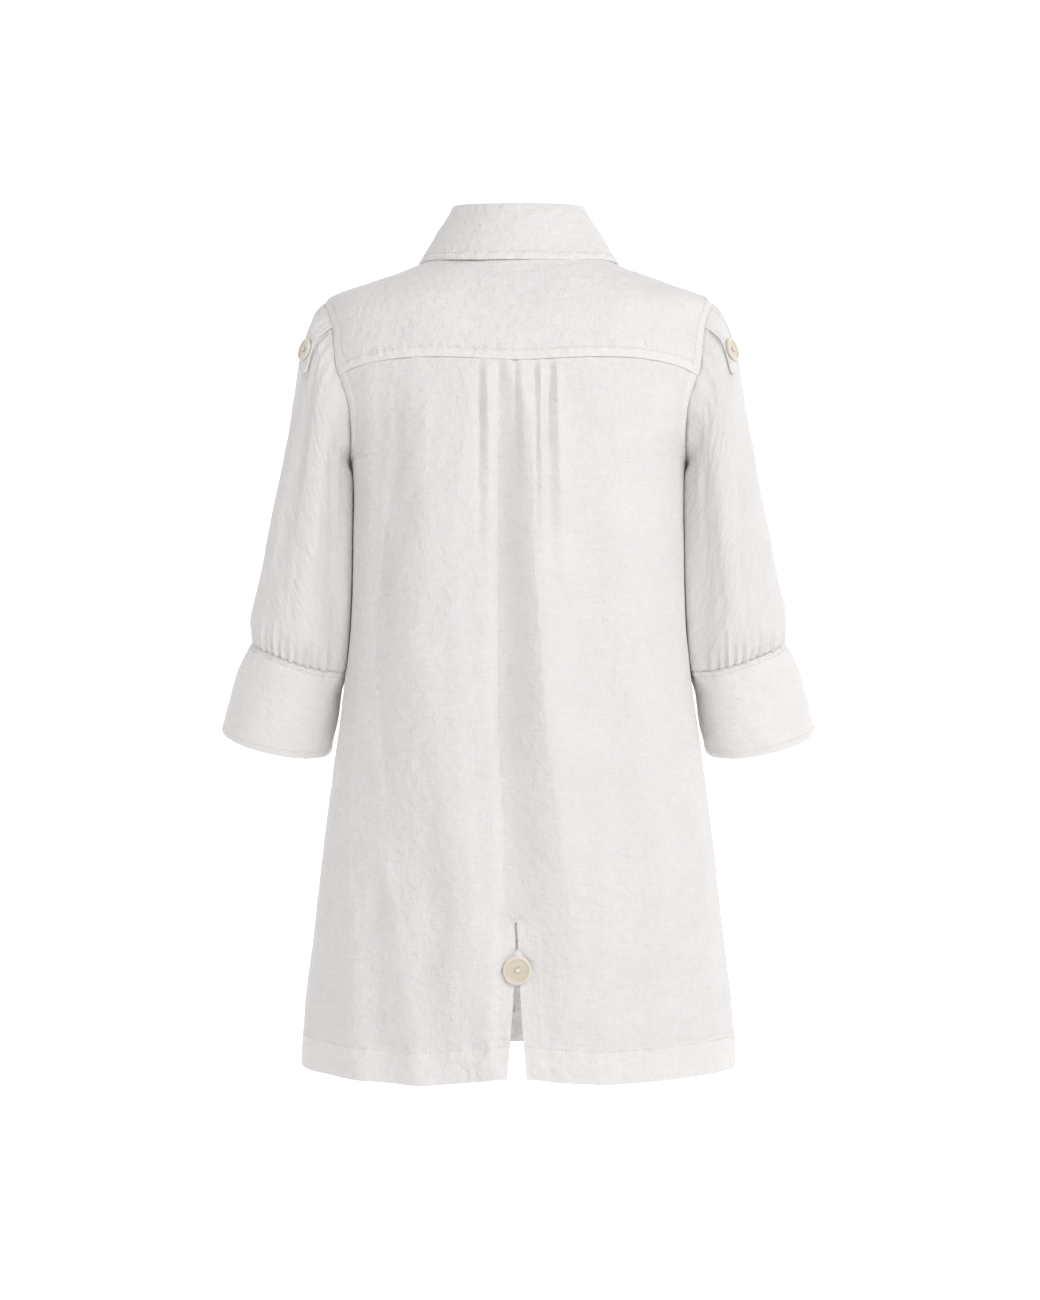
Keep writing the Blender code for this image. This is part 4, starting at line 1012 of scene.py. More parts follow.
def hem_band(cloth, seed):
    """Turned-up hem: a raised band with its line of stitches and the puckers along it."""
    low = cloth.low
    turned = 0.8
    cloth.band(low, HEM_DEPTH, turned, HEM_STITCH)
    cloth.under += turned * (1 - smooth_step(low, HEM_DEPTH - 1.0, HEM_DEPTH + 0.2))
    slanted = cloth.across + 0.5 * low
    cloth.height += pucker(cloth.across, low - HEM_STITCH, reach=7.0, pitch=6.0, height=1.5, seed=seed)
    cloth.height += pucker(slanted, low - HEM_DEPTH / 2, reach=15.0, pitch=13.0, height=1.2, seed=seed + 1)


def armhole_band(cloth, apart, seed):
    """Seam allowance round an armhole, topstitched down on the body's side."""
    cloth.band(apart, TOPSTITCH_IN, SEAM_THICK)
    cloth.height += pucker(cloth.up, apart - TOPSTITCH_IN, reach=6.0, pitch=6.0, height=0.5, seed=seed)


def rows_below(stops):
    """Levels of a grid's rows from the hem up to just under the armhole."""
    heights = [HEM_Z]
    for height, count in stops:
        heights += list(np.linspace(heights[-1], height, count + 1)[1:])
    return level_at(0.0, np.array(heights))


def vent_tab_half(down):
    """Half width of the vent's tab at a distance below its tip."""
    pointed = np.clip(1 - down / VENT_TAB_POINT, 0, 1)
    waist = 1 - 0.3 * smooth_step(down / VENT_TAB_LENGTH, 0.7, 1)
    return VENT_TAB_HALF_WIDTH * (1 - 0.97 * pointed) * waist


def back_grid():
    """Base of the back, the column at its slit and the rows up to the slit's top."""
    hole_angle, hole_level = armhole(np.linspace(math.pi, QUARTER_TURN, 36))
    below = rows_below(BACK_GRID_ROWS)
    levels = np.concatenate([below, hole_level])
    level = levels[:, None]
    edge = np.concatenate([np.zeros(len(below)), hole_angle])[:, None]
    fine = np.arange(1, FINE_COLUMNS + 1) * FINE_COLUMN
    wider = fine[-1] + np.arange(1, WIDER_COLUMNS + 1) * WIDER_COLUMN
    steps = np.concatenate([fine, wider])[::-1]
    centre = VENT_X + np.concatenate([steps, [0, 0], -steps[::-1]])
    sides = np.linspace(0, 1, 60)[:-1]
    slit = len(sides) + len(steps)
    middle = QUARTER_TURN - angle_at(centre[None, :], level)
    left = edge + (middle[:, :1] - edge) * sides
    right = math.pi - edge + (middle[:, -1:] - math.pi + edge) * sides[::-1]
    angle = np.concatenate([left, middle, right], 1)
    start = level_at(0.0, ARMHOLE_LOW - 30)
    climb = np.clip((level - start) / (levels[-1] - start), 0, 1)
    top = level_at(angle, back_seam_height((angle - QUARTER_TURN) / (QUARTER_TURN - edge)))
    base = body(angle, level + (top - levels[-1]) * climb)
    hem_wave(base, sizes().seed + 3)
    open_rows = int(np.sum(base[:, slit, 2] < VENT_TOP_Z - 1))
    return base, slit, open_rows


def pleat_back(cloth, x, z):
    """Pleats, folds and rumples of the back, calm at its side seams and sewn flat at the yoke."""
    seed = sizes().seed
    calm = smooth_step(np.minimum(np.abs(x - x[:, :1]), np.abs(x - x[:, -1:])), 0, EDGE_CALM)
    sewn = smooth_step(cloth.top, 0.5, 7.0)
    wander = 4.0 * rumple(x, z, 90.0, 120.0, seed + 11)
    bent = x + wander * smooth_step(YOKE_CENTRE_Z - z, 40, 160)
    main = sum(leaning(rows, bent, z) for rows in LEANING_FOLDS)
    cloth.height += (main + folds(BACK_CREASES, bent, z)) * calm * sewn
    gravity = 0.55 + 0.45 * smooth_step(YOKE_CENTRE_Z - z, 0, 120)
    leftward = 0.75 + 0.5 * smooth_step(x, -20, 90)
    cloth.height += crumple(x, z, seed) * gravity * (0.35 + 0.65 * calm) * leftward * sewn
    drawn = pucker(cloth.across, cloth.top, reach=16.0, pitch=9.0, height=1.0, seed=seed + 23)
    cloth.height += drawn * sewn * calm


def seat_vent_tab(cloth, x, z):
    """Brings the back to the solid's folds under the vent's button, and dents it beside the tab's tip."""
    seat = np.exp(-((x - VENT_X) / 20) ** 2 - ((z - VENT_BUTTON_Z) / 26) ** 2)
    cloth.height += (folds(BACK_FOLDS, x, z) - cloth.height) * np.clip(1.6 * seat, 0, 1)
    beside_tab = np.abs(x - VENT_X) - vent_tab_half(VENT_TAB_TOP_Z - z)
    below_tip = smooth_step(VENT_TAB_TOP_Z + 2 - z, 0, 3)
    above_button = smooth_step(z, VENT_BUTTON_Z + 2, VENT_BUTTON_Z + 8)
    cloth.height -= 1.8 * below_tip * above_button * np.exp(-((beside_tab - 1.0) / 1.7) ** 2)


def open_vent(cloth, x, z, slit):
    """Faces the vent, ripples the cloth beside it, pulls it in at its top and draws the slit open."""
    apart = np.abs(x - VENT_X)
    in_vent = smooth_step(VENT_TOP_Z + 6 - z, 0, 14)
    facing = in_vent * (1 - smooth_step(apart, VENT_FACING - 1, VENT_FACING + 1))
    cloth.over += 0.35 * facing + in_vent * groove(apart - VENT_FACING + 1.2, depth=0.3)
    # painted light: the facing is drawn brighter than single cloth
    cloth.doubled_painted_light = np.maximum(cloth.doubled_painted_light, 0.6 * facing)
    ripples = rumple(z + 0.12 * x, x, 5.0, 26.0, sizes().seed + 17)
    below_button = smooth_step(VENT_BUTTON_Z - 12 - z, 0, 16)
    leftward = np.where(x > VENT_X, 1.0, 0.5)
    cloth.height += 1.3 * ripples * below_button * leftward * np.exp(-((apart - 12) / 12) ** 2)
    from_top = np.hypot(x - VENT_X, z - VENT_TOP_Z - 1)
    round_top = np.arctan2(z - VENT_TOP_Z - 1, x - VENT_X)
    spokes = np.cos(7 * round_top) + 0.5 * np.cos(4 * round_top + 1.0)
    cloth.height += 0.55 * spokes * np.exp(-((from_top - SPOKE_RING) / 5) ** 2)
    share = np.clip((VENT_TOP_Z - z) / (VENT_TOP_Z - HEM_Z), 0, 1)
    half = VENT_HALF_TOP + (VENT_HALF_HEM - VENT_HALF_TOP) * share ** VENT_OPENING
    side = np.where(np.arange(x.shape[1]) <= slit, 1.0, -1.0)[None, :]
    bend = VENT_BEND * np.exp(-((z - VENT_TOP_Z) / 14) ** 2)
    pull = side * half * (z < VENT_TOP_Z - 1) + bend
    cloth.base[..., 0] += pull * (1 - smooth_step(apart, 0, VENT_SPREAD))


def back_cloth():
    """Back panel as a grid, and the column and rows of its vent."""
    base, slit, open_rows = back_grid()
    cloth = Cloth(base, (0, 1, 0))
    x, z = base[..., 0], base[..., 2]
    pleat_back(cloth, x, z)
    seat_vent_tab(cloth, x, z)
    hem_band(cloth, sizes().seed + 5)
    nearest_side = np.minimum(cloth.first, cloth.last)
    armhole_band(cloth, np.where(z > ARMHOLE_LOW, nearest_side, FAR), sizes().seed + 29)
    open_vent(cloth, x, z, slit)
    cloth.roll(cloth.top - 0.4, depth=0.9, reach=3.0)
    cloth.tuck("top", distance=3.5, depth=1.4)
    cloth.roll(np.where(z > ARMHOLE_LOW, FAR, nearest_side), depth=0.6, reach=2.0)
    return cloth, slit, open_rows


def yoke_grid():
    """Base of the yoke: its lower edge is the pleated seam, its ends climb armholes and forward seams."""
    step = TURN / ARM_PARTS
    arm_rows = ARM_PARTS // 4 + FORWARD_SEAM_STEP
    shoulder_rows = 4
    all_rows = arm_rows + shoulder_rows
    t = np.concatenate([np.linspace(0, 1.0, 15)[:-1], np.linspace(1.0, all_rows, 88)])
    edge_angle, edge_level = armhole((ARM_PARTS // 4 - np.minimum(t, arm_rows)) * step)
    past = np.clip((t - arm_rows) / shoulder_rows, 0, 1)
    edge_angle = edge_angle - NECK_END_TURN * past
    edge_level = edge_level + (NECK_ROW - edge_level) * past
    across = np.linspace(-1, 1, 270)
    share = (t / all_rows)[:, None]
    centre_start = float(level_at(QUARTER_TURN, YOKE_CENTRE_Z))
    angle = QUARTER_TURN + (QUARTER_TURN - edge_angle[:, None]) * across[None, :]
    centre = centre_start + (NECK_ROW - centre_start) * share ** 0.8
    level = centre + (edge_level[:, None] - centre) * np.abs(across) ** (2.0 + share)
    seam = level_at(angle[0], back_seam_height(across))
    level = level + (seam - level[0]) * (1 - smooth_step(t, 0, 1))[:, None]
    return body(angle, level)


def yoke_cloth():
    """Back yoke as a grid, raised over the back at its pleated seam."""
    seed = sizes().seed
    base = yoke_grid()
    cloth = Cloth(base, (0, 1, 0))
    x, z = base[..., 0], base[..., 2]
    apart = np.minimum(cloth.first, cloth.last)
    calm = (0.25 + 0.75 * smooth_step(apart, 0, 20)) * (0.08 + 0.92 * smooth_step(cloth.low, 3, 18))
    cloth.height += 0.5 * crumple(x, cloth.up, seed + 101) * calm
    # painted light: the yoke is drawn a little brighter than single cloth
    cloth.doubled_painted_light += 0.35
    cloth.band(np.minimum(cloth.low, apart), TOPSTITCH_IN, SEAM_THICK)
    for along, edge, height, extra in ((cloth.across, cloth.low, 1.15, 107), (cloth.up, apart, 1.0, 109)):
        line = edge - TOPSTITCH_IN
        cloth.height += pucker(along, line, reach=5.0, pitch=4.4, height=height, seed=seed + extra)
    cloth.height += 0.8
    on_row = (1 - smooth_step(np.abs(x), SHORT_ROW_HALF - 1, SHORT_ROW_HALF + 1)) * (base[..., 1] > 0)
    cloth.over += groove(z - SHORT_ROW_Z, depth=0.5, width=1.4) * on_row
    cloth.roll(cloth.low, depth=0.4, reach=1.0)
    cloth.roll(cloth.top, depth=1.2, reach=3.0)
    return cloth


def front_grid(seed):
    """Base of one front on the wearer's left, from its side seam to past its button edge."""
    step = TURN / ARM_PARTS
    hole_angle, hole_level = armhole(np.linspace(math.pi, TURN - FORWARD_SEAM_STEP * step, 46))
    hole_angle[0] = 0.0
    below = rows_below(FRONT_GRID_ROWS)
    past = np.linspace(0, 1, 26)[1:]
    levels = np.concatenate([below, hole_level, hole_level[-1] + (NECK_ROW - hole_level[-1]) * past])
    edges = np.concatenate([0 * below, hole_angle, hole_angle[-1] - NECK_END_TURN * past])
    strip = np.concatenate([np.linspace(LAP, -LAP - 1.5, 20), [-20.0, -24.0, -28.0, -32.0]])
    out = np.linspace(0, 1, 78)[:-1]
    level, edge = levels[:, None], edges[:, None]
    strip_angle = -QUARTER_TURN + angle_at(-strip[None, :], level)
    angle = np.concatenate([edge + (strip_angle[:, -1:] - edge) * out, strip_angle[:, ::-1]], 1)
    base = body(angle, level)
    hem_wave(base, seed)
    return base


def front_cloth(lapped):
    """One front as a grid, built on the wearer's left."""
    seed = sizes().seed + (211 if lapped else 307)
    base = front_grid(seed)
    cloth = Cloth(base, (0, -1, 0))
    x, z = base[..., 0], base[..., 2]
    near_neck = 1 - smooth_step(z, -240, -150)
    calm = smooth_step(np.abs(x - x[:, :1]), 0, EDGE_CALM) * smooth_step(np.abs(x), LAP + 2, LAP + 24)
    bent = (x + 4.0 * rumple(x, z, 90.0, 120.0, seed + 11)) * (-1 if lapped else 1)
    cloth.height += (folds(FRONT_FOLDS, bent, z) * near_neck + folds(FRONT_CREASES, bent, z)) * calm
    cloth.height += crumple(x, z, seed) * (0.3 + 0.7 * calm) * 0.8
    hem_band(cloth, seed + 5)
    from_edge = LAP - x
    strip_lines = (STRIP_STITCH, 2 * LAP - STRIP_STITCH)
    cloth.band(from_edge, 2 * LAP, 0.5, strip_lines[1])
    cloth.over += groove(from_edge - strip_lines[0])
    for line in strip_lines:
        cloth.height += pucker(z, from_edge - line, reach=6.0, pitch=7.0, height=0.3, seed=seed + int(line))
    if lapped:
        lap = LAP_RAISE * smooth_step(-x, *LAP_RAMP)
        cloth.base += level_direction(cloth.normal) * lap[..., None]
    arm = np.where((z > ARMHOLE_LOW) & (np.abs(x) > 70), cloth.first, FAR)
    armhole_band(cloth, arm, seed + 29)
    cloth.roll(np.where(z > ARMHOLE_LOW, FAR, cloth.first), depth=0.6, reach=2.0)
    cloth.roll(from_edge, depth=0.5, reach=1.5)
    cloth.roll(cloth.top, depth=1.2, reach=3.0)
    return cloth


def degrees_from(around, angle):
    """Degrees from a line down the sleeve, between -180 and 180."""
    return (np.degrees(around)[None, :] - angle + 180) % 360 - 180


def arm_folds(around, z, table):
    """Height of a sleeve's long folds, which die out at both ends."""
    total = np.zeros(z.shape)
    for angle, top_z, low_z, width, depth in table:
        share = np.clip((top_z - z) / (top_z - low_z), 0, 1)
        total += depth * np.sin(math.pi * share) * np.exp(-(degrees_from(around, angle) / width) ** 2)
    return total


def head_gathers(around, low):
    """Height of the small gathers at the sleeve's head, which slant as they run down."""
    total = np.zeros(low.shape)
    for angle, width, length, depth in HEAD_GATHERS:
        apart = degrees_from(around, angle + HEAD_SLANT * low)
        fade = smooth_step(low, 1, 6) * (1 - smooth_step(low, 0.3 * length, length))
        total += depth * fade * np.exp(-(apart / width) ** 2)
    return total


def cuff_gathers(around, above):
    """Height of the gathers let into the cuff's seam, each with a dip beside it."""
    total = np.zeros(above.shape)
    for angle, width, length, depth in GATHERS:
        apart = degrees_from(around, angle)
        fade = 1 - smooth_step(above, 0, 0.7 * length)
        dip = 0.7 * np.exp(-((apart - GATHER_DIP) / width) ** 2)
        total += depth * fade * (np.exp(-(apart / width) ** 2) - dip)
    return total


def lean_on_body(base, reach):
    """Moves the inner side of a sleeve or cuff against the body's side, where they hang together."""
    x, y, z = np.moveaxis(base, -1, 0)
    row = spline(BODY_ROWS, level_at(0.0 * z, z))
    depth = np.where(y >= 0, row[..., 2], -row[..., 4])
    side = row[..., 1] * (1 - np.clip(np.abs(y) / depth, 0, 1) ** row[..., 6]) ** (1 / row[..., 6])
    gap = x - side - BODY_CLEAR
    inner = (1 - smooth_step(gap, 8, 22)) * smooth_step(-y, -40, -18)
    inner = inner * smooth_step(x.mean(1, keepdims=True) - x, 0, 12)
    base[..., 0] -= np.clip(gap, 0, 14) * inner * reach


def lie_under_tab(cloth):
    """Calms the sleeve under its shoulder tab and dents it round the tab, deeper behind it."""
    columns = cloth.base.shape[1]
    centre = int(round(TAB_ANGLE / 360 * columns))
    apart = cloth.across - cloth.across[:, centre:centre + 1]
    past = np.maximum(cloth.low - TAB_LENGTH + TAB_HALF_WIDTH, 0)
    outside = np.hypot(apart, past) - TAB_HALF_WIDTH
    behind = 0.4 + 0.6 * smooth_step(apart, -4, 8)
    cloth.height *= smooth_step(outside, 1, 16)
    cloth.height -= 3.4 * behind * smooth_step(cloth.low, 3, 12) * np.exp(-((outside - 1.4) / 2.4) ** 2)


def sleeve_cloth(seed):
    """Left sleeve as a closed grid, gathered into its cuff."""
    around = np.arange(SLEEVE_COLUMNS) * TURN / SLEEVE_COLUMNS
    levels = np.concatenate([np.linspace(0, 1, 14)[:-1], np.linspace(1, 6.6, 68)[:-1],
                             np.linspace(6.6, 8, 36)])
    base = sleeve_surface(around, levels)
    lean_on_body(base, smooth_step(levels, 0.4, 2.0)[:, None])
    cloth = Cloth(base, (-1, 0, 0), closed=True)
    z = base[..., 2]
    off_body = smooth_step(np.cos(around), -0.95, -0.6)[None, :]
    above = z - z[-1:]
    long_folds = arm_folds(around, z, SLEEVE_FOLDS) + arm_folds(around, z, SLEEVE_CREASES)
    crumpled = 0.75 * crumple(cloth.across, cloth.up, seed) * smooth_step(cloth.low, 2, 30)
    gathered = 1.7 * cuff_gathers(around, above) + 1.3 * np.exp(-((above - 22) / 16) ** 2)
    cloth.height += (long_folds + crumpled + head_gathers(around, cloth.low)) * off_body
    cloth.height += gathered * (0.4 + 0.6 * off_body)
    lie_under_tab(cloth)
    cloth.roll(cloth.low - 0.4, depth=0.9, reach=4.6)
    cloth.tuck("low", distance=2.5, depth=1.2)
    cloth.roll(cloth.top, depth=1.2, reach=3.0)
    return cloth


def cuff_cloth(seed):
    """Left cuff as a closed grid, flared, of two layers and stitched along both edges."""
    around = np.arange(SLEEVE_COLUMNS) * TURN / SLEEVE_COLUMNS
    rings = arm_rings(CUFF_ROWS, around)
    levels = np.concatenate([np.linspace(0, 0.28, 12)[:-1], np.linspace(0.28, len(CUFF_ROWS) - 1, 42)])
    flat = spline(rings.reshape(len(rings), -1), levels)
    base = flat.reshape(len(levels), len(around), 3)
    lean_on_body(base, (1 - smooth_step(levels, 0, 0.9))[:, None])
    cloth = Cloth(base, (-1, 0, 0), closed=True)
    # painted light: the cuff is drawn brighter than a single layer
    cloth.doubled_painted_light += 1.0
    cloth.height += 0.6 * crumple(cloth.across, cloth.up * 1.4, seed)
    bowed = rumple(cloth.across, cloth.up, 50.0, 90.0, seed + 5)
    cloth.height += 1.3 * bowed * smooth_step(cloth.low, 10, 60)
    for line in CUFF_STITCHES:
        apart = cloth.low - line
        cloth.over += groove(apart, depth=1.2, width=1.3)
        cloth.height += pucker(cloth.across, apart, reach=5.0, pitch=4.4, height=0.9, seed=seed + int(line))
    apart = cloth.top - CUFF_EDGE_STITCH
    cloth.over += groove(apart, depth=0.5)
    cloth.height += pucker(cloth.across, apart, reach=6.0, pitch=8.0, height=0.35, seed=seed + 31)
    cloth.under += 0.8
    cloth.height += 0.7
    cloth.roll(cloth.low, depth=0.5, reach=1.2)
    cloth.roll(cloth.top, depth=0.6, reach=1.4)
    return cloth


def stand_cloth():
    """Collar stand as a grid, its right end lapped over its left one."""
    lap = math.radians(STAND_LAP)
    angle = np.linspace(-QUARTER_TURN - lap, 1.5 * math.pi + lap, 200)
    levels = np.linspace(0, 2, 22)
    base = ring(STAND_ROWS, *np.broadcast_arrays(angle[None, :], levels[:, None]))
    cloth = Cloth(base, (0, 1, 0))
    raise_end = LAP_RAISE * smooth_step(angle, 1.5 * math.pi - 3.2 * lap, 1.5 * math.pi - 1.4 * lap)
    cloth.base += level_direction(cloth.normal) * raise_end[None, :, None]
    # painted light: the stand is drawn brighter than a single layer
    cloth.doubled_painted_light += 1.0
    cloth.height += 0.25 * crumple(cloth.across, cloth.up, sizes().seed + 401)
    cloth.over += groove(cloth.low - STRIP_STITCH) + groove(cloth.top - STRIP_STITCH)
    return cloth


def fall_cloth():
    """Turned-down collar as a grid, from its stand over the roll to its outer edge."""
    share = np.linspace(0, 1, 360)
    roll_open = math.radians(FALL_ROLL_OPEN)
    edge_open = math.radians(FALL_EDGE_OPEN)
    roll = -QUARTER_TURN + roll_open + (TURN - 2 * roll_open) * share
    edge = -QUARTER_TURN + edge_open + (TURN - 2 * edge_open) * share
    point = smooth_step(np.abs(share - 0.5), 0.3, 0.5)
    edge_level = FALL_EDGE_ROW + (FALL_POINT_ROW - FALL_EDGE_ROW) * point
    edge_level = edge_level - FALL_BACK_DROP * smooth_step(0.25 - np.abs(share - 0.5), 0, 0.2)
    rest = body(edge, edge_level)
    step = 0.02
    along = body(edge + step, edge_level) - body(edge - step, edge_level)
    up = body(edge, edge_level + step) - body(edge, edge_level - step)
    lift = np.cross(along, up)
    lift = lift / np.linalg.norm(lift, axis=-1, keepdims=True)
    lift *= np.sign(lift[len(share) // 2, 1])
    hem = rest + lift * FALL_EDGE_LIFT
    rows = []
    for r in range(len(FALL_ROWS)):
        blend = (r / len(FALL_ROWS)) ** 2
        rows.append(ring(FALL_ROWS, roll + (edge - roll) * blend, np.full(share.shape, float(r))))
    knots = np.array(rows + [hem]).reshape(len(FALL_ROWS) + 1, -1)
    fine = np.concatenate([np.linspace(0, 2, 18)[:-1], np.linspace(2, 4, 52)])
    base = spline(knots, fine).reshape(len(fine), len(share), 3)
    cloth = Cloth(base, (0, 1, 0))
    seed = sizes().seed
    calm = smooth_step(cloth.low, 8, 22)
    cloth.height += 0.42 * crumple(cloth.across, cloth.up, seed + 431) * calm
    cloth.height += 0.8 * rumple(cloth.across, cloth.up, 46.0, 60.0, seed + 437) * calm
    # painted light: the collar is drawn a little brighter than single cloth
    cloth.doubled_painted_light += 0.5
    cloth.band(cloth.top, COLLAR_STITCH, 0.5)
    apart = cloth.top - COLLAR_STITCH
    cloth.height += pucker(cloth.across, apart, reach=5.0, pitch=4.6, height=0.9, seed=seed + 439) * calm
    cloth.under += 0.5 * calm
    cloth.roll(cloth.top, depth=0.7, reach=1.6)
    return cloth


def tab_grid():
    """Left shoulder tab on the sleeve: grid of its base, and its button's seat and axis."""
    around = np.radians(TAB_ANGLE + np.linspace(-TAB_SWEEP, TAB_SWEEP, 121))
    centre = len(around) // 2
    fine = np.linspace(0, 3, 241)
    run = run_length(sleeve_surface(around, fine)[:, centre], 0)
    stops = np.concatenate([np.linspace(TAB_START, TAB_LENGTH - TAB_POINT, 40)[:-1],
                            np.linspace(TAB_LENGTH - TAB_POINT, TAB_LENGTH, 14)])
    pointed = np.clip((stops - TAB_LENGTH + TAB_POINT) / TAB_POINT, 0, 1)
    half = TAB_HALF_WIDTH * np.sqrt(1 - 0.995 * pointed ** 2)
    surface = sleeve_surface(around, np.interp(stops, run, fine))
    apart = run_length(surface, 1)
    apart = apart - apart[:, centre:centre + 1]
    across = np.linspace(-1, 1, 29)
    base = np.array([[[np.interp(share * reach, apart[r], surface[r, :, k]) for k in range(3)]
                      for share in across] for r, reach in enumerate(half)])
    level = float(np.interp(TAB_LENGTH - TAB_BUTTON_FROM_TIP, run, fine))
    seat = sleeve_surface(around[centre - 4:centre + 5:4], [level - 0.1, level, level + 0.1])
    axis = normals(seat)[1, 1]
    axis *= np.sign(axis[0])
    return base, seat[1, 1], axis


def strip_cloth(base, outward, thick, seed, lift=0.0):
    """A short strip of two layers that lies on a panel, edge-stitched and slightly bowed."""
    cloth = Cloth(base, outward)
    # painted light: the strip is drawn brighter than a single layer
    cloth.doubled_painted_light += 1.0
    edge = np.minimum(np.minimum(cloth.first, cloth.last), cloth.top)
    cloth.height += ON_PANEL + thick + lift * (1 - smooth_step(cloth.top, 0, 16))
    cloth.over += groove(edge - TAB_STITCH, depth=0.3, width=1.1)
    cloth.height += 0.25 * rumple(cloth.across, cloth.up, 9.0, 14.0, seed)
    cloth.under += thick - sizes().cloth / MM
    cloth.roll(edge, depth=0.5, reach=1.2)
    return cloth


def back_outer(x, z):
    """Point and normal of the back's outer surface at the vent, folds included."""
    level = level_at(QUARTER_TURN, z)
    points = []
    for shift_x, shift_z in ((0, 0), (1, 0), (0, 1)):
        row = level + shift_z * 0.01
        base = body(QUARTER_TURN - angle_at(x + shift_x, row), row)
        height = folds(BACK_FOLDS, base[..., 0], base[..., 2])
        points.append(base + np.stack([0 * height, height, 0 * height], -1))
    normal = np.cross(points[2] - points[0], points[1] - points[0])
    normal = normal / np.linalg.norm(normal, axis=-1, keepdims=True)
    return points[0], normal * np.sign(normal[..., 1:2])


# Buttons, modelled by hand


def pick_faces(piece, test):
    """In edit mode, selects the faces that pass a test of their centre and normal."""
    bpy.ops.mesh.select_all(action="DESELECT")
    bpy.ops.mesh.select_mode(type="FACE")
    shape = bmesh.from_edit_mesh(piece.data)
    for face in shape.faces:
        face.select_set(test(face.calc_center_median(), face.normal))
    shape.select_flush_mode()
    bmesh.update_edit_mesh(piece.data)


def model_button(name, radius):
    """One button at the origin: a disc with a raised rim, a dished middle and four holes."""
    size = radius * MM
    thick = 2.2 * MM * (0.5 + 0.5 * radius / VENT_BUTTON_RADIUS)
    bpy.ops.object.select_all(action="DESELECT")
    bpy.ops.mesh.primitive_cylinder_add(vertices=BUTTON_DISC, radius=size, depth=thick,
                                        location=(0, 0, thick / 2))
    disc = bpy.context.object
    disc.name = name
    bpy.ops.object.transform_apply(location=True, rotation=True, scale=True)
    bpy.ops.object.mode_set(mode="EDIT")
    pick_faces(disc, lambda centre, way: way.z > 0.9)
    for inset, rise in BUTTON_STEPS:
        bpy.ops.mesh.inset(thickness=size * inset)
        bpy.ops.transform.translate(value=(0, 0, size * rise))
    pick_faces(disc, lambda centre, way: way.z < -0.9)
    bpy.ops.mesh.inset(thickness=size * BUTTON_BACK_INSET)
    bpy.ops.object.mode_set(mode="OBJECT")
    soften = disc.modifiers.new("soft edges", "BEVEL")
    soften.width = size * 0.03
    soften.segments = 2
    soften.limit_method = "ANGLE"
    soften.angle_limit = math.radians(14)
    bpy.ops.object.modifier_apply(modifier=soften.name)
    drills = []
    for turn in range(BUTTON_HOLES):
        angle = TURN * (turn + 0.5) / BUTTON_HOLES
        place = Vector((math.cos(angle), math.sin(angle), 0)) * size * HOLE_PLACE
        bpy.ops.object.select_all(action="DESELECT")
        bpy.ops.mesh.primitive_cylinder_add(vertices=HOLE_SIDES, radius=size * HOLE_RADIUS,
                                            depth=thick * 6, location=(place.x, place.y, thick / 2))
        drills.append(bpy.context.object)
    for drill in drills:
        drill.select_set(True)
    bpy.context.view_layer.objects.active = drills[0]
    bpy.ops.object.join()
    drill = bpy.context.object
    bpy.ops.object.select_all(action="DESELECT")
    disc.select_set(True)
    bpy.context.view_layer.objects.active = disc
    cut = disc.modifiers.new("holes", "BOOLEAN")
    cut.object = drill
    cut.operation = "DIFFERENCE"
    cut.solver = "EXACT"
    bpy.ops.object.modifier_apply(modifier=cut.name)
    bpy.data.objects.remove(drill, do_unlink=True)
    bpy.ops.object.shade_smooth_by_angle(angle=math.radians(28))
    disc.data.materials.clear()
    disc.data.materials.append(horn_material())
    rim = [smooth_step(point.co.xy.length / size, 0.74, 0.9) for point in disc.data.vertices]
    disc.data.attributes.new("rim", "FLOAT", "POINT").data.foreach_set("value", rim)
    return disc


def cross_thread(radius, seat):
    """Points and ways of the two crossed bars of thread over a button's holes, at the origin."""
    reach = radius * 0.24
    sewing = Sewing()
    for angle in (TURN / 8, 3 * TURN / 8):
        line = Vector((math.cos(angle), math.sin(angle), 0)) * reach
        for shift in (-0.25, 0.25):
            off = Vector((-math.sin(angle), math.cos(angle), 0)) * shift
            ends = [Vector((0, 0, seat)) + off - line, Vector((0, 0, seat)) + off + line]
            points = np.array([tuple(ends[0]), tuple(ends[1])])
            sewing.line(points, np.array([(0, 0, 1.0)] * 2), pitch=2 * reach, length=2.3 * reach)
    return sewing


def seat_matrix(centre, axis, spin=0.0):
    """Places something modelled at the origin, +Z up, on a seat with that axis."""
    turn = Vector(axis).to_track_quat("Z", "Y").to_matrix().to_4x4()
    return Matrix.Translation(Vector(centre) * MM) @ turn @ Matrix.Rotation(spin, 4, "Z")


def place_button(model, radius, name, node, centre, axis, spin=0.0):
    """Copies a modelled button to its seat, with its thread."""
    button = model.copy()
    button.data = model.data.copy()
    button.name = name
    bpy.context.scene.collection.objects.link(button)
    matrix = seat_matrix(centre, axis, spin)
    button.data.transform(matrix)
    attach(button, "root")
    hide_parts(node)
    thread = cross_thread(radius, radius * 0.155 + 0.35).join(name + "_thread")
    thread.data.transform(matrix)
    return button


# Operators, one for each piece or group of like pieces


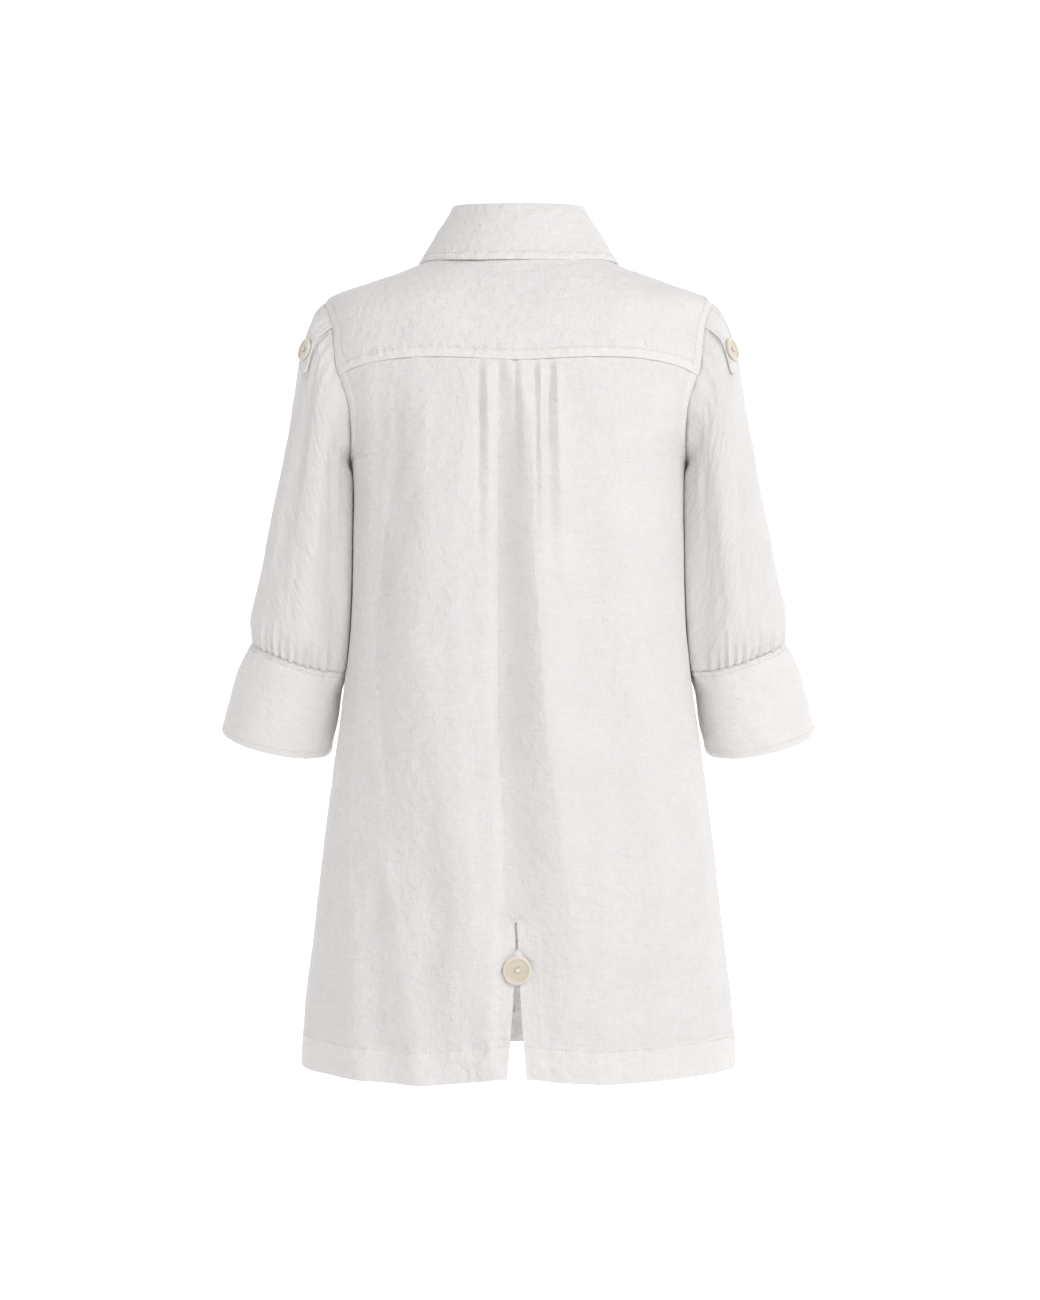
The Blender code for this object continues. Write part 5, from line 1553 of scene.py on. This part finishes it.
class SHIRT_OT_back(bpy.types.Operator):
    """Cuts the pleated back with its vent, and sews its hem and facings"""

    bl_idname = "shirt.back"
    bl_label = "Back"

    def execute(self, context):
        cloth, slit, open_rows = back_cloth()
        piece = wall("linen_back", cloth, slit=(slit, open_rows))
        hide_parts("back_panel")
        sewing = Sewing()
        columns = cloth.base.shape[1]
        sewing.on(cloth, "low", HEM_STITCH, end=slit / columns)
        sewing.on(cloth, "low", HEM_STITCH, start=(slit + 1) / (columns - 1))
        for (start_column, start_row), (end_column, end_row) in BAR_TACK:
            row = open_rows + np.linspace(start_row, end_row, 6)
            column = slit + 0.5 + np.linspace(start_column, end_column, 6)
            sewing.line(*cloth.sample(row, column, clear=0.6), pitch=2.2, length=2.6)
        sewing.join("back_stitches")
        return {"FINISHED"}


class SHIRT_OT_yoke(bpy.types.Operator):
    """Cuts the back yoke and topstitches its seams"""

    bl_idname = "shirt.yoke"
    bl_label = "Yoke"

    def execute(self, context):
        cloth = yoke_cloth()
        piece = wall("linen_yoke", cloth)
        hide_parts("back_yoke")
        sewing = Sewing()
        sewing.on(cloth, "low", TOPSTITCH_IN, start=0.03, end=0.97)
        for edge in ("first", "last"):
            sewing.on(cloth, edge, TOPSTITCH_IN, start=0.07, end=0.97)
        x, z = cloth.base[..., 0], cloth.base[..., 2]
        middle = x.shape[1] // 2
        row_near = 66           # a row of the grid close to the short row of stitches
        columns = np.arange(middle - 56, middle + 57)
        columns = columns[np.abs(x[row_near, columns]) < SHORT_ROW_HALF]
        rows = [np.interp(SHORT_ROW_Z, z[:, c], np.arange(len(z))) for c in columns]
        sewing.line(*cloth.sample(np.array(rows), columns.astype(float), clear=0.3))
        sewing.join("yoke_stitches")
        return {"FINISHED"}


class SHIRT_OT_fronts(bpy.types.Operator):
    """Cuts both fronts, the right one lapped over the left, with hem and button strip"""

    bl_idname = "shirt.fronts"
    bl_label = "Fronts"

    def execute(self, context):
        for side, lapped in (("left", False), ("right", True)):
            cloth = front_cloth(lapped)
            piece = wall("linen_front_" + side, cloth, mirror=lapped)
            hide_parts("front_" + side)
            sewing = Sewing()
            sewing.on(cloth, "low", HEM_STITCH, start=0.0, end=0.99)
            for line in (STRIP_STITCH, 2 * LAP - STRIP_STITCH):
                sewing.on(cloth, "last", line, start=0.005, end=0.99)
            sewing.on(cloth, "top", NECK_STITCH, start=0.01, end=0.8)
            sewing.join("front_%s_stitches" % side, mirror=lapped)
        return {"FINISHED"}


class SHIRT_OT_sleeves(bpy.types.Operator):
    """Sews both sleeves, gathered into their cuffs"""

    bl_idname = "shirt.sleeves"
    bl_label = "Sleeves"

    def execute(self, context):
        for number, side in enumerate(("left", "right")):
            cloth = sleeve_cloth(sizes().seed + 503 + 61 * number)
            piece = wall("linen_sleeve_" + side, cloth, mirror=side == "right")
            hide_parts("sleeve_" + side)
        return {"FINISHED"}


class SHIRT_OT_cuffs(bpy.types.Operator):
    """Makes both flared cuffs, with two rows of stitches at the seam and one at the edge"""

    bl_idname = "shirt.cuffs"
    bl_label = "Cuffs"

    def execute(self, context):
        for number, side in enumerate(("left", "right")):
            cloth = cuff_cloth(sizes().seed + 601 + 47 * number)
            piece = wall("linen_cuff_" + side, cloth, mirror=side == "right")
            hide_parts("cuff_" + side)
            sewing = Sewing()
            for line in CUFF_STITCHES:
                sewing.on(cloth, "low", line)
            sewing.on(cloth, "top", CUFF_EDGE_STITCH)
            sewing.join("cuff_%s_stitches" % side, mirror=side == "right")
        return {"FINISHED"}


class SHIRT_OT_collar(bpy.types.Operator):
    """Makes the collar stand and the turned-down collar"""

    bl_idname = "shirt.collar"
    bl_label = "Collar"

    def execute(self, context):
        stand, fall = stand_cloth(), fall_cloth()
        piece = wall("linen_stand", stand)
        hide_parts("collar_stand")
        piece = wall("linen_collar", fall)
        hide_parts("collar_fall")
        sewing = Sewing()
        for edge in ("low", "top"):
            sewing.on(stand, edge, STRIP_STITCH, start=0.01, end=0.99)
        sewing.on(fall, "top", COLLAR_STITCH, start=0.02, end=0.98)
        for edge in ("first", "last"):
            sewing.on(fall, edge, COLLAR_END_STITCH, start=0.3, end=0.96)
        sewing.join("collar_stitches")
        return {"FINISHED"}


class SHIRT_OT_tabs(bpy.types.Operator):
    """Lays the shoulder tabs on the sleeves and the small tab across the vent"""

    bl_idname = "shirt.tabs"
    bl_label = "Tabs"

    def execute(self, context):
        base, _, _ = tab_grid()
        for number, side in enumerate(("left", "right")):
            cloth = strip_cloth(base, (1, 0.5, 0.5), TAB_CLOTH, sizes().seed + 701 + number)
            piece = wall("linen_tab_" + side, cloth, mirror=side == "right")
            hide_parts("tab_" + side)
            sewing = Sewing()
            for edge in ("first", "last"):
                sewing.on(cloth, edge, TAB_STITCH, start=0.0, end=0.98)
            sewing.join("tab_%s_stitches" % side, mirror=side == "right")
        down = VENT_TAB_LENGTH * np.linspace(1, 0, 30)
        x = VENT_X + vent_tab_half(down)[:, None] * np.linspace(-1, 1, 21)[None, :]
        z = VENT_TAB_TOP_Z - down[:, None] + 0 * x
        cloth = strip_cloth(back_outer(x, z)[0], (0, 1, 0), TAB_CLOTH, sizes().seed + 711, 1.6)
        piece = wall("linen_vent_tab", cloth)
        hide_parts("vent_tab")
        return {"FINISHED"}


class SHIRT_OT_buttons(bpy.types.Operator):
    """Turns the horn buttons and sews them on"""

    bl_idname = "shirt.buttons"
    bl_label = "Buttons"

    def execute(self, context):
        radius = VENT_BUTTON_RADIUS
        model = model_button("vent_model", radius)
        seat, axis = back_outer(np.array([VENT_X]), np.array([VENT_BUTTON_Z]))
        centre = seat[0] + axis[0] * (ON_PANEL + TAB_CLOTH + SEAM_GAP + 0.4)
        place_button(model, radius, "horn_vent", "button_vent", centre, axis[0], 0.1)
        bpy.data.objects.remove(model, do_unlink=True)
        radius = TAB_BUTTON_RADIUS
        model = model_button("tab_model", radius)
        _, seat, axis = tab_grid()
        centre = seat + axis * (ON_PANEL + TAB_CLOTH + SEAM_GAP)
        for side, sign in (("left", 1.0), ("right", -1.0)):
            turn = np.array([sign, 1.0, 1.0])
            name = "tab_" + side
            place_button(model, radius, "horn_" + name, "button_" + name, centre * turn, axis * turn)
        bpy.data.objects.remove(model, do_unlink=True)
        radius = FRONT_BUTTON_RADIUS
        model = model_button("front_model", radius)
        for number in range(FRONT_BUTTONS):
            height = FRONT_BUTTON_TOP_Z - FRONT_BUTTON_STEP * number
            level = float(level_at(-QUARTER_TURN, height))
            low, seat, high = (body(-QUARTER_TURN, level + shift) for shift in (-0.2, 0.0, 0.2))
            axis = np.cross(high - low, np.array([1.0, 0, 0]))
            axis = axis / np.linalg.norm(axis)
            axis *= -np.sign(axis[1])
            centre = seat + level_direction(axis) * LAP_RAISE + axis * (ON_PANEL + SEAM_GAP)
            name = "front_%d" % (number + 1)
            place_button(model, radius, "horn_" + name, "button_" + name, centre, axis)
        bpy.data.objects.remove(model, do_unlink=True)
        return {"FINISHED"}


class SHIRT_OT_stage(bpy.types.Operator):
    """Sets up the paper sweep, the soft lights and the camera"""

    bl_idname = "shirt.stage"
    bl_label = "Stage"

    def execute(self, context):
        self.sweep()
        self.lights()
        self.camera()
        context.scene.view_settings.view_transform = "Standard"
        return {"FINISHED"}

    def sweep(self):
        """Paper that runs from the floor up behind the shirt in one curve, its back part glowing as painted
        light in place of lamps aimed at it.
        """
        floor_z, back_y, front_y, bend, high = -1.15, -3.2, 7.0, 1.2, 5.0
        turn = np.linspace(0, QUARTER_TURN, 17)
        line = [(front_y, floor_z)]
        line += [(back_y + bend - bend * math.sin(a), floor_z + bend - bend * math.cos(a)) for a in turn]
        line.append((back_y, high))
        points = [(x, y, z) for y, z in line for x in (-8.0, 8.0)]
        faces = [(2 * i, 2 * i + 1, 2 * i + 3, 2 * i + 2) for i in range(len(line) - 1)]
        mesh = bpy.data.meshes.new("paper_sweep")
        mesh.from_pydata(points, [], faces)
        mesh.shade_smooth()
        made, tree = new_material("paper_with_painted_glow")
        place = add_node(tree, "ShaderNodeTexCoord").outputs["Object"]
        behind = add_node(tree, "ShaderNodeSeparateXYZ", None, {"Vector": place}).outputs["Y"]
        # painted light: the paper behind the shirt glows, and none glows under it, in place of lamps
        # lighting the backdrop
        painted_glow = add_node(tree, "ShaderNodeMapRange", None, {
            "Value": behind, "From Min": 0.2, "From Max": -0.3, "To Min": 0.0, "To Max": 0.55}).outputs[0]
        shader = add_node(tree, "ShaderNodeBsdfPrincipled", None, {
            "Base Color": opaque(colours().floor), "Roughness": 0.95, "Specular IOR Level": 0.1,
            "Emission Color": opaque(colours().floor), "Emission Strength": painted_glow})
        add_node(tree, "ShaderNodeOutputMaterial", None, {"Surface": shader.outputs[0]})
        mesh.materials.append(made)
        paper = bpy.data.objects.new("paper_sweep", mesh)
        bpy.context.scene.collection.objects.link(paper)

    def lights(self):
        """Even white light all round, with a soft key from the wearer's right and above."""
        world = bpy.data.worlds.new("studio")
        world.use_nodes = True
        world.node_tree.nodes["Background"].inputs["Color"].default_value = (1.0, 0.985, 0.975, 1.0)
        world.node_tree.nodes["Background"].inputs["Strength"].default_value = 0.5
        bpy.context.scene.world = world
        # name  place  aim  size  power
        lamps = [
            ("key", (-2.9, 2.2, 1.4), (0, 0, -0.45), 1.2, 23.0),
            ("wash", (-1.7, 3.6, 1.7), (0, 0, -0.4), 1.6, 52.0),
            ("fill", (3.0, 3.2, 0.6), (0, 0, -0.4), 2.6, 15.0),
            ("front", (-2.2, -3.2, 2.2), (0, 0, -0.4), 2.6, 18.0),
        ]
        for name, place, aim, size, power in lamps:
            lamp = bpy.data.lights.new(name, "AREA")
            lamp.shape = "DISK"
            lamp.size = size
            lamp.energy = power
            light = bpy.data.objects.new(name, lamp)
            light.location = place
            light.rotation_euler = (Vector(aim) - Vector(place)).to_track_quat("-Z", "Y").to_euler()
            bpy.context.scene.collection.objects.link(light)

    def camera(self):
        """Level camera behind the shirt, framed as the photograph."""
        wide, high = FRAME_PIXELS
        frame_height = high * MM_PER_PIXEL * MM
        lens = bpy.data.cameras.new("photo_view")
        lens.sensor_width = SENSOR
        lens.lens = SENSOR * CAMERA_DISTANCE / frame_height
        lens.clip_start, lens.clip_end = 0.05, 60.0
        viewer = bpy.data.objects.new("photo_view", lens)
        offset = (wide / 2 - CENTRE_PIXEL_X) * MM_PER_PIXEL * MM
        viewer.location = (-offset, CAMERA_DISTANCE, CAMERA_HEIGHT)
        viewer.rotation_euler = (QUARTER_TURN, 0, math.pi)
        bpy.context.scene.collection.objects.link(viewer)
        bpy.context.scene.camera = viewer


class SHIRT_PT_panel(bpy.types.Panel):
    """Lists the shirt's pieces in the sidebar"""

    bl_label = "Linen utility shirt"
    bl_idname = "SHIRT_PT_panel"
    bl_space_type = "VIEW_3D"
    bl_region_type = "UI"
    bl_category = "Shirt"

    def draw(self, context):
        column = self.layout.column(align=True)
        for group in (context.scene.shirt_sizes, context.scene.shirt_colours):
            for name in group.__annotations__:
                column.prop(group, name)
        for operator in PIECES:
            column.operator(operator.bl_idname)


PIECES = (SHIRT_OT_back, SHIRT_OT_yoke, SHIRT_OT_fronts, SHIRT_OT_sleeves, SHIRT_OT_cuffs, SHIRT_OT_collar,
          SHIRT_OT_tabs, SHIRT_OT_buttons, SHIRT_OT_stage)
CLASSES = (ShirtSizes, ShirtColours, *PIECES, SHIRT_PT_panel)


def register():
    for made in CLASSES:
        bpy.utils.register_class(made)
    bpy.types.Scene.shirt_sizes = PointerProperty(type=ShirtSizes)
    bpy.types.Scene.shirt_colours = PointerProperty(type=ShirtColours)


def unregister():
    del bpy.types.Scene.shirt_colours
    del bpy.types.Scene.shirt_sizes
    for made in reversed(CLASSES):
        bpy.utils.unregister_class(made)


def main():
    """Builds every piece and the stage."""
    register()
    bpy.ops.shirt.back()
    bpy.ops.shirt.yoke()
    bpy.ops.shirt.fronts()
    bpy.ops.shirt.sleeves()
    bpy.ops.shirt.cuffs()
    bpy.ops.shirt.collar()
    bpy.ops.shirt.tabs()
    bpy.ops.shirt.buttons()
    bpy.ops.shirt.stage()
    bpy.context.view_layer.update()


if __name__ == "__main__":
    main()
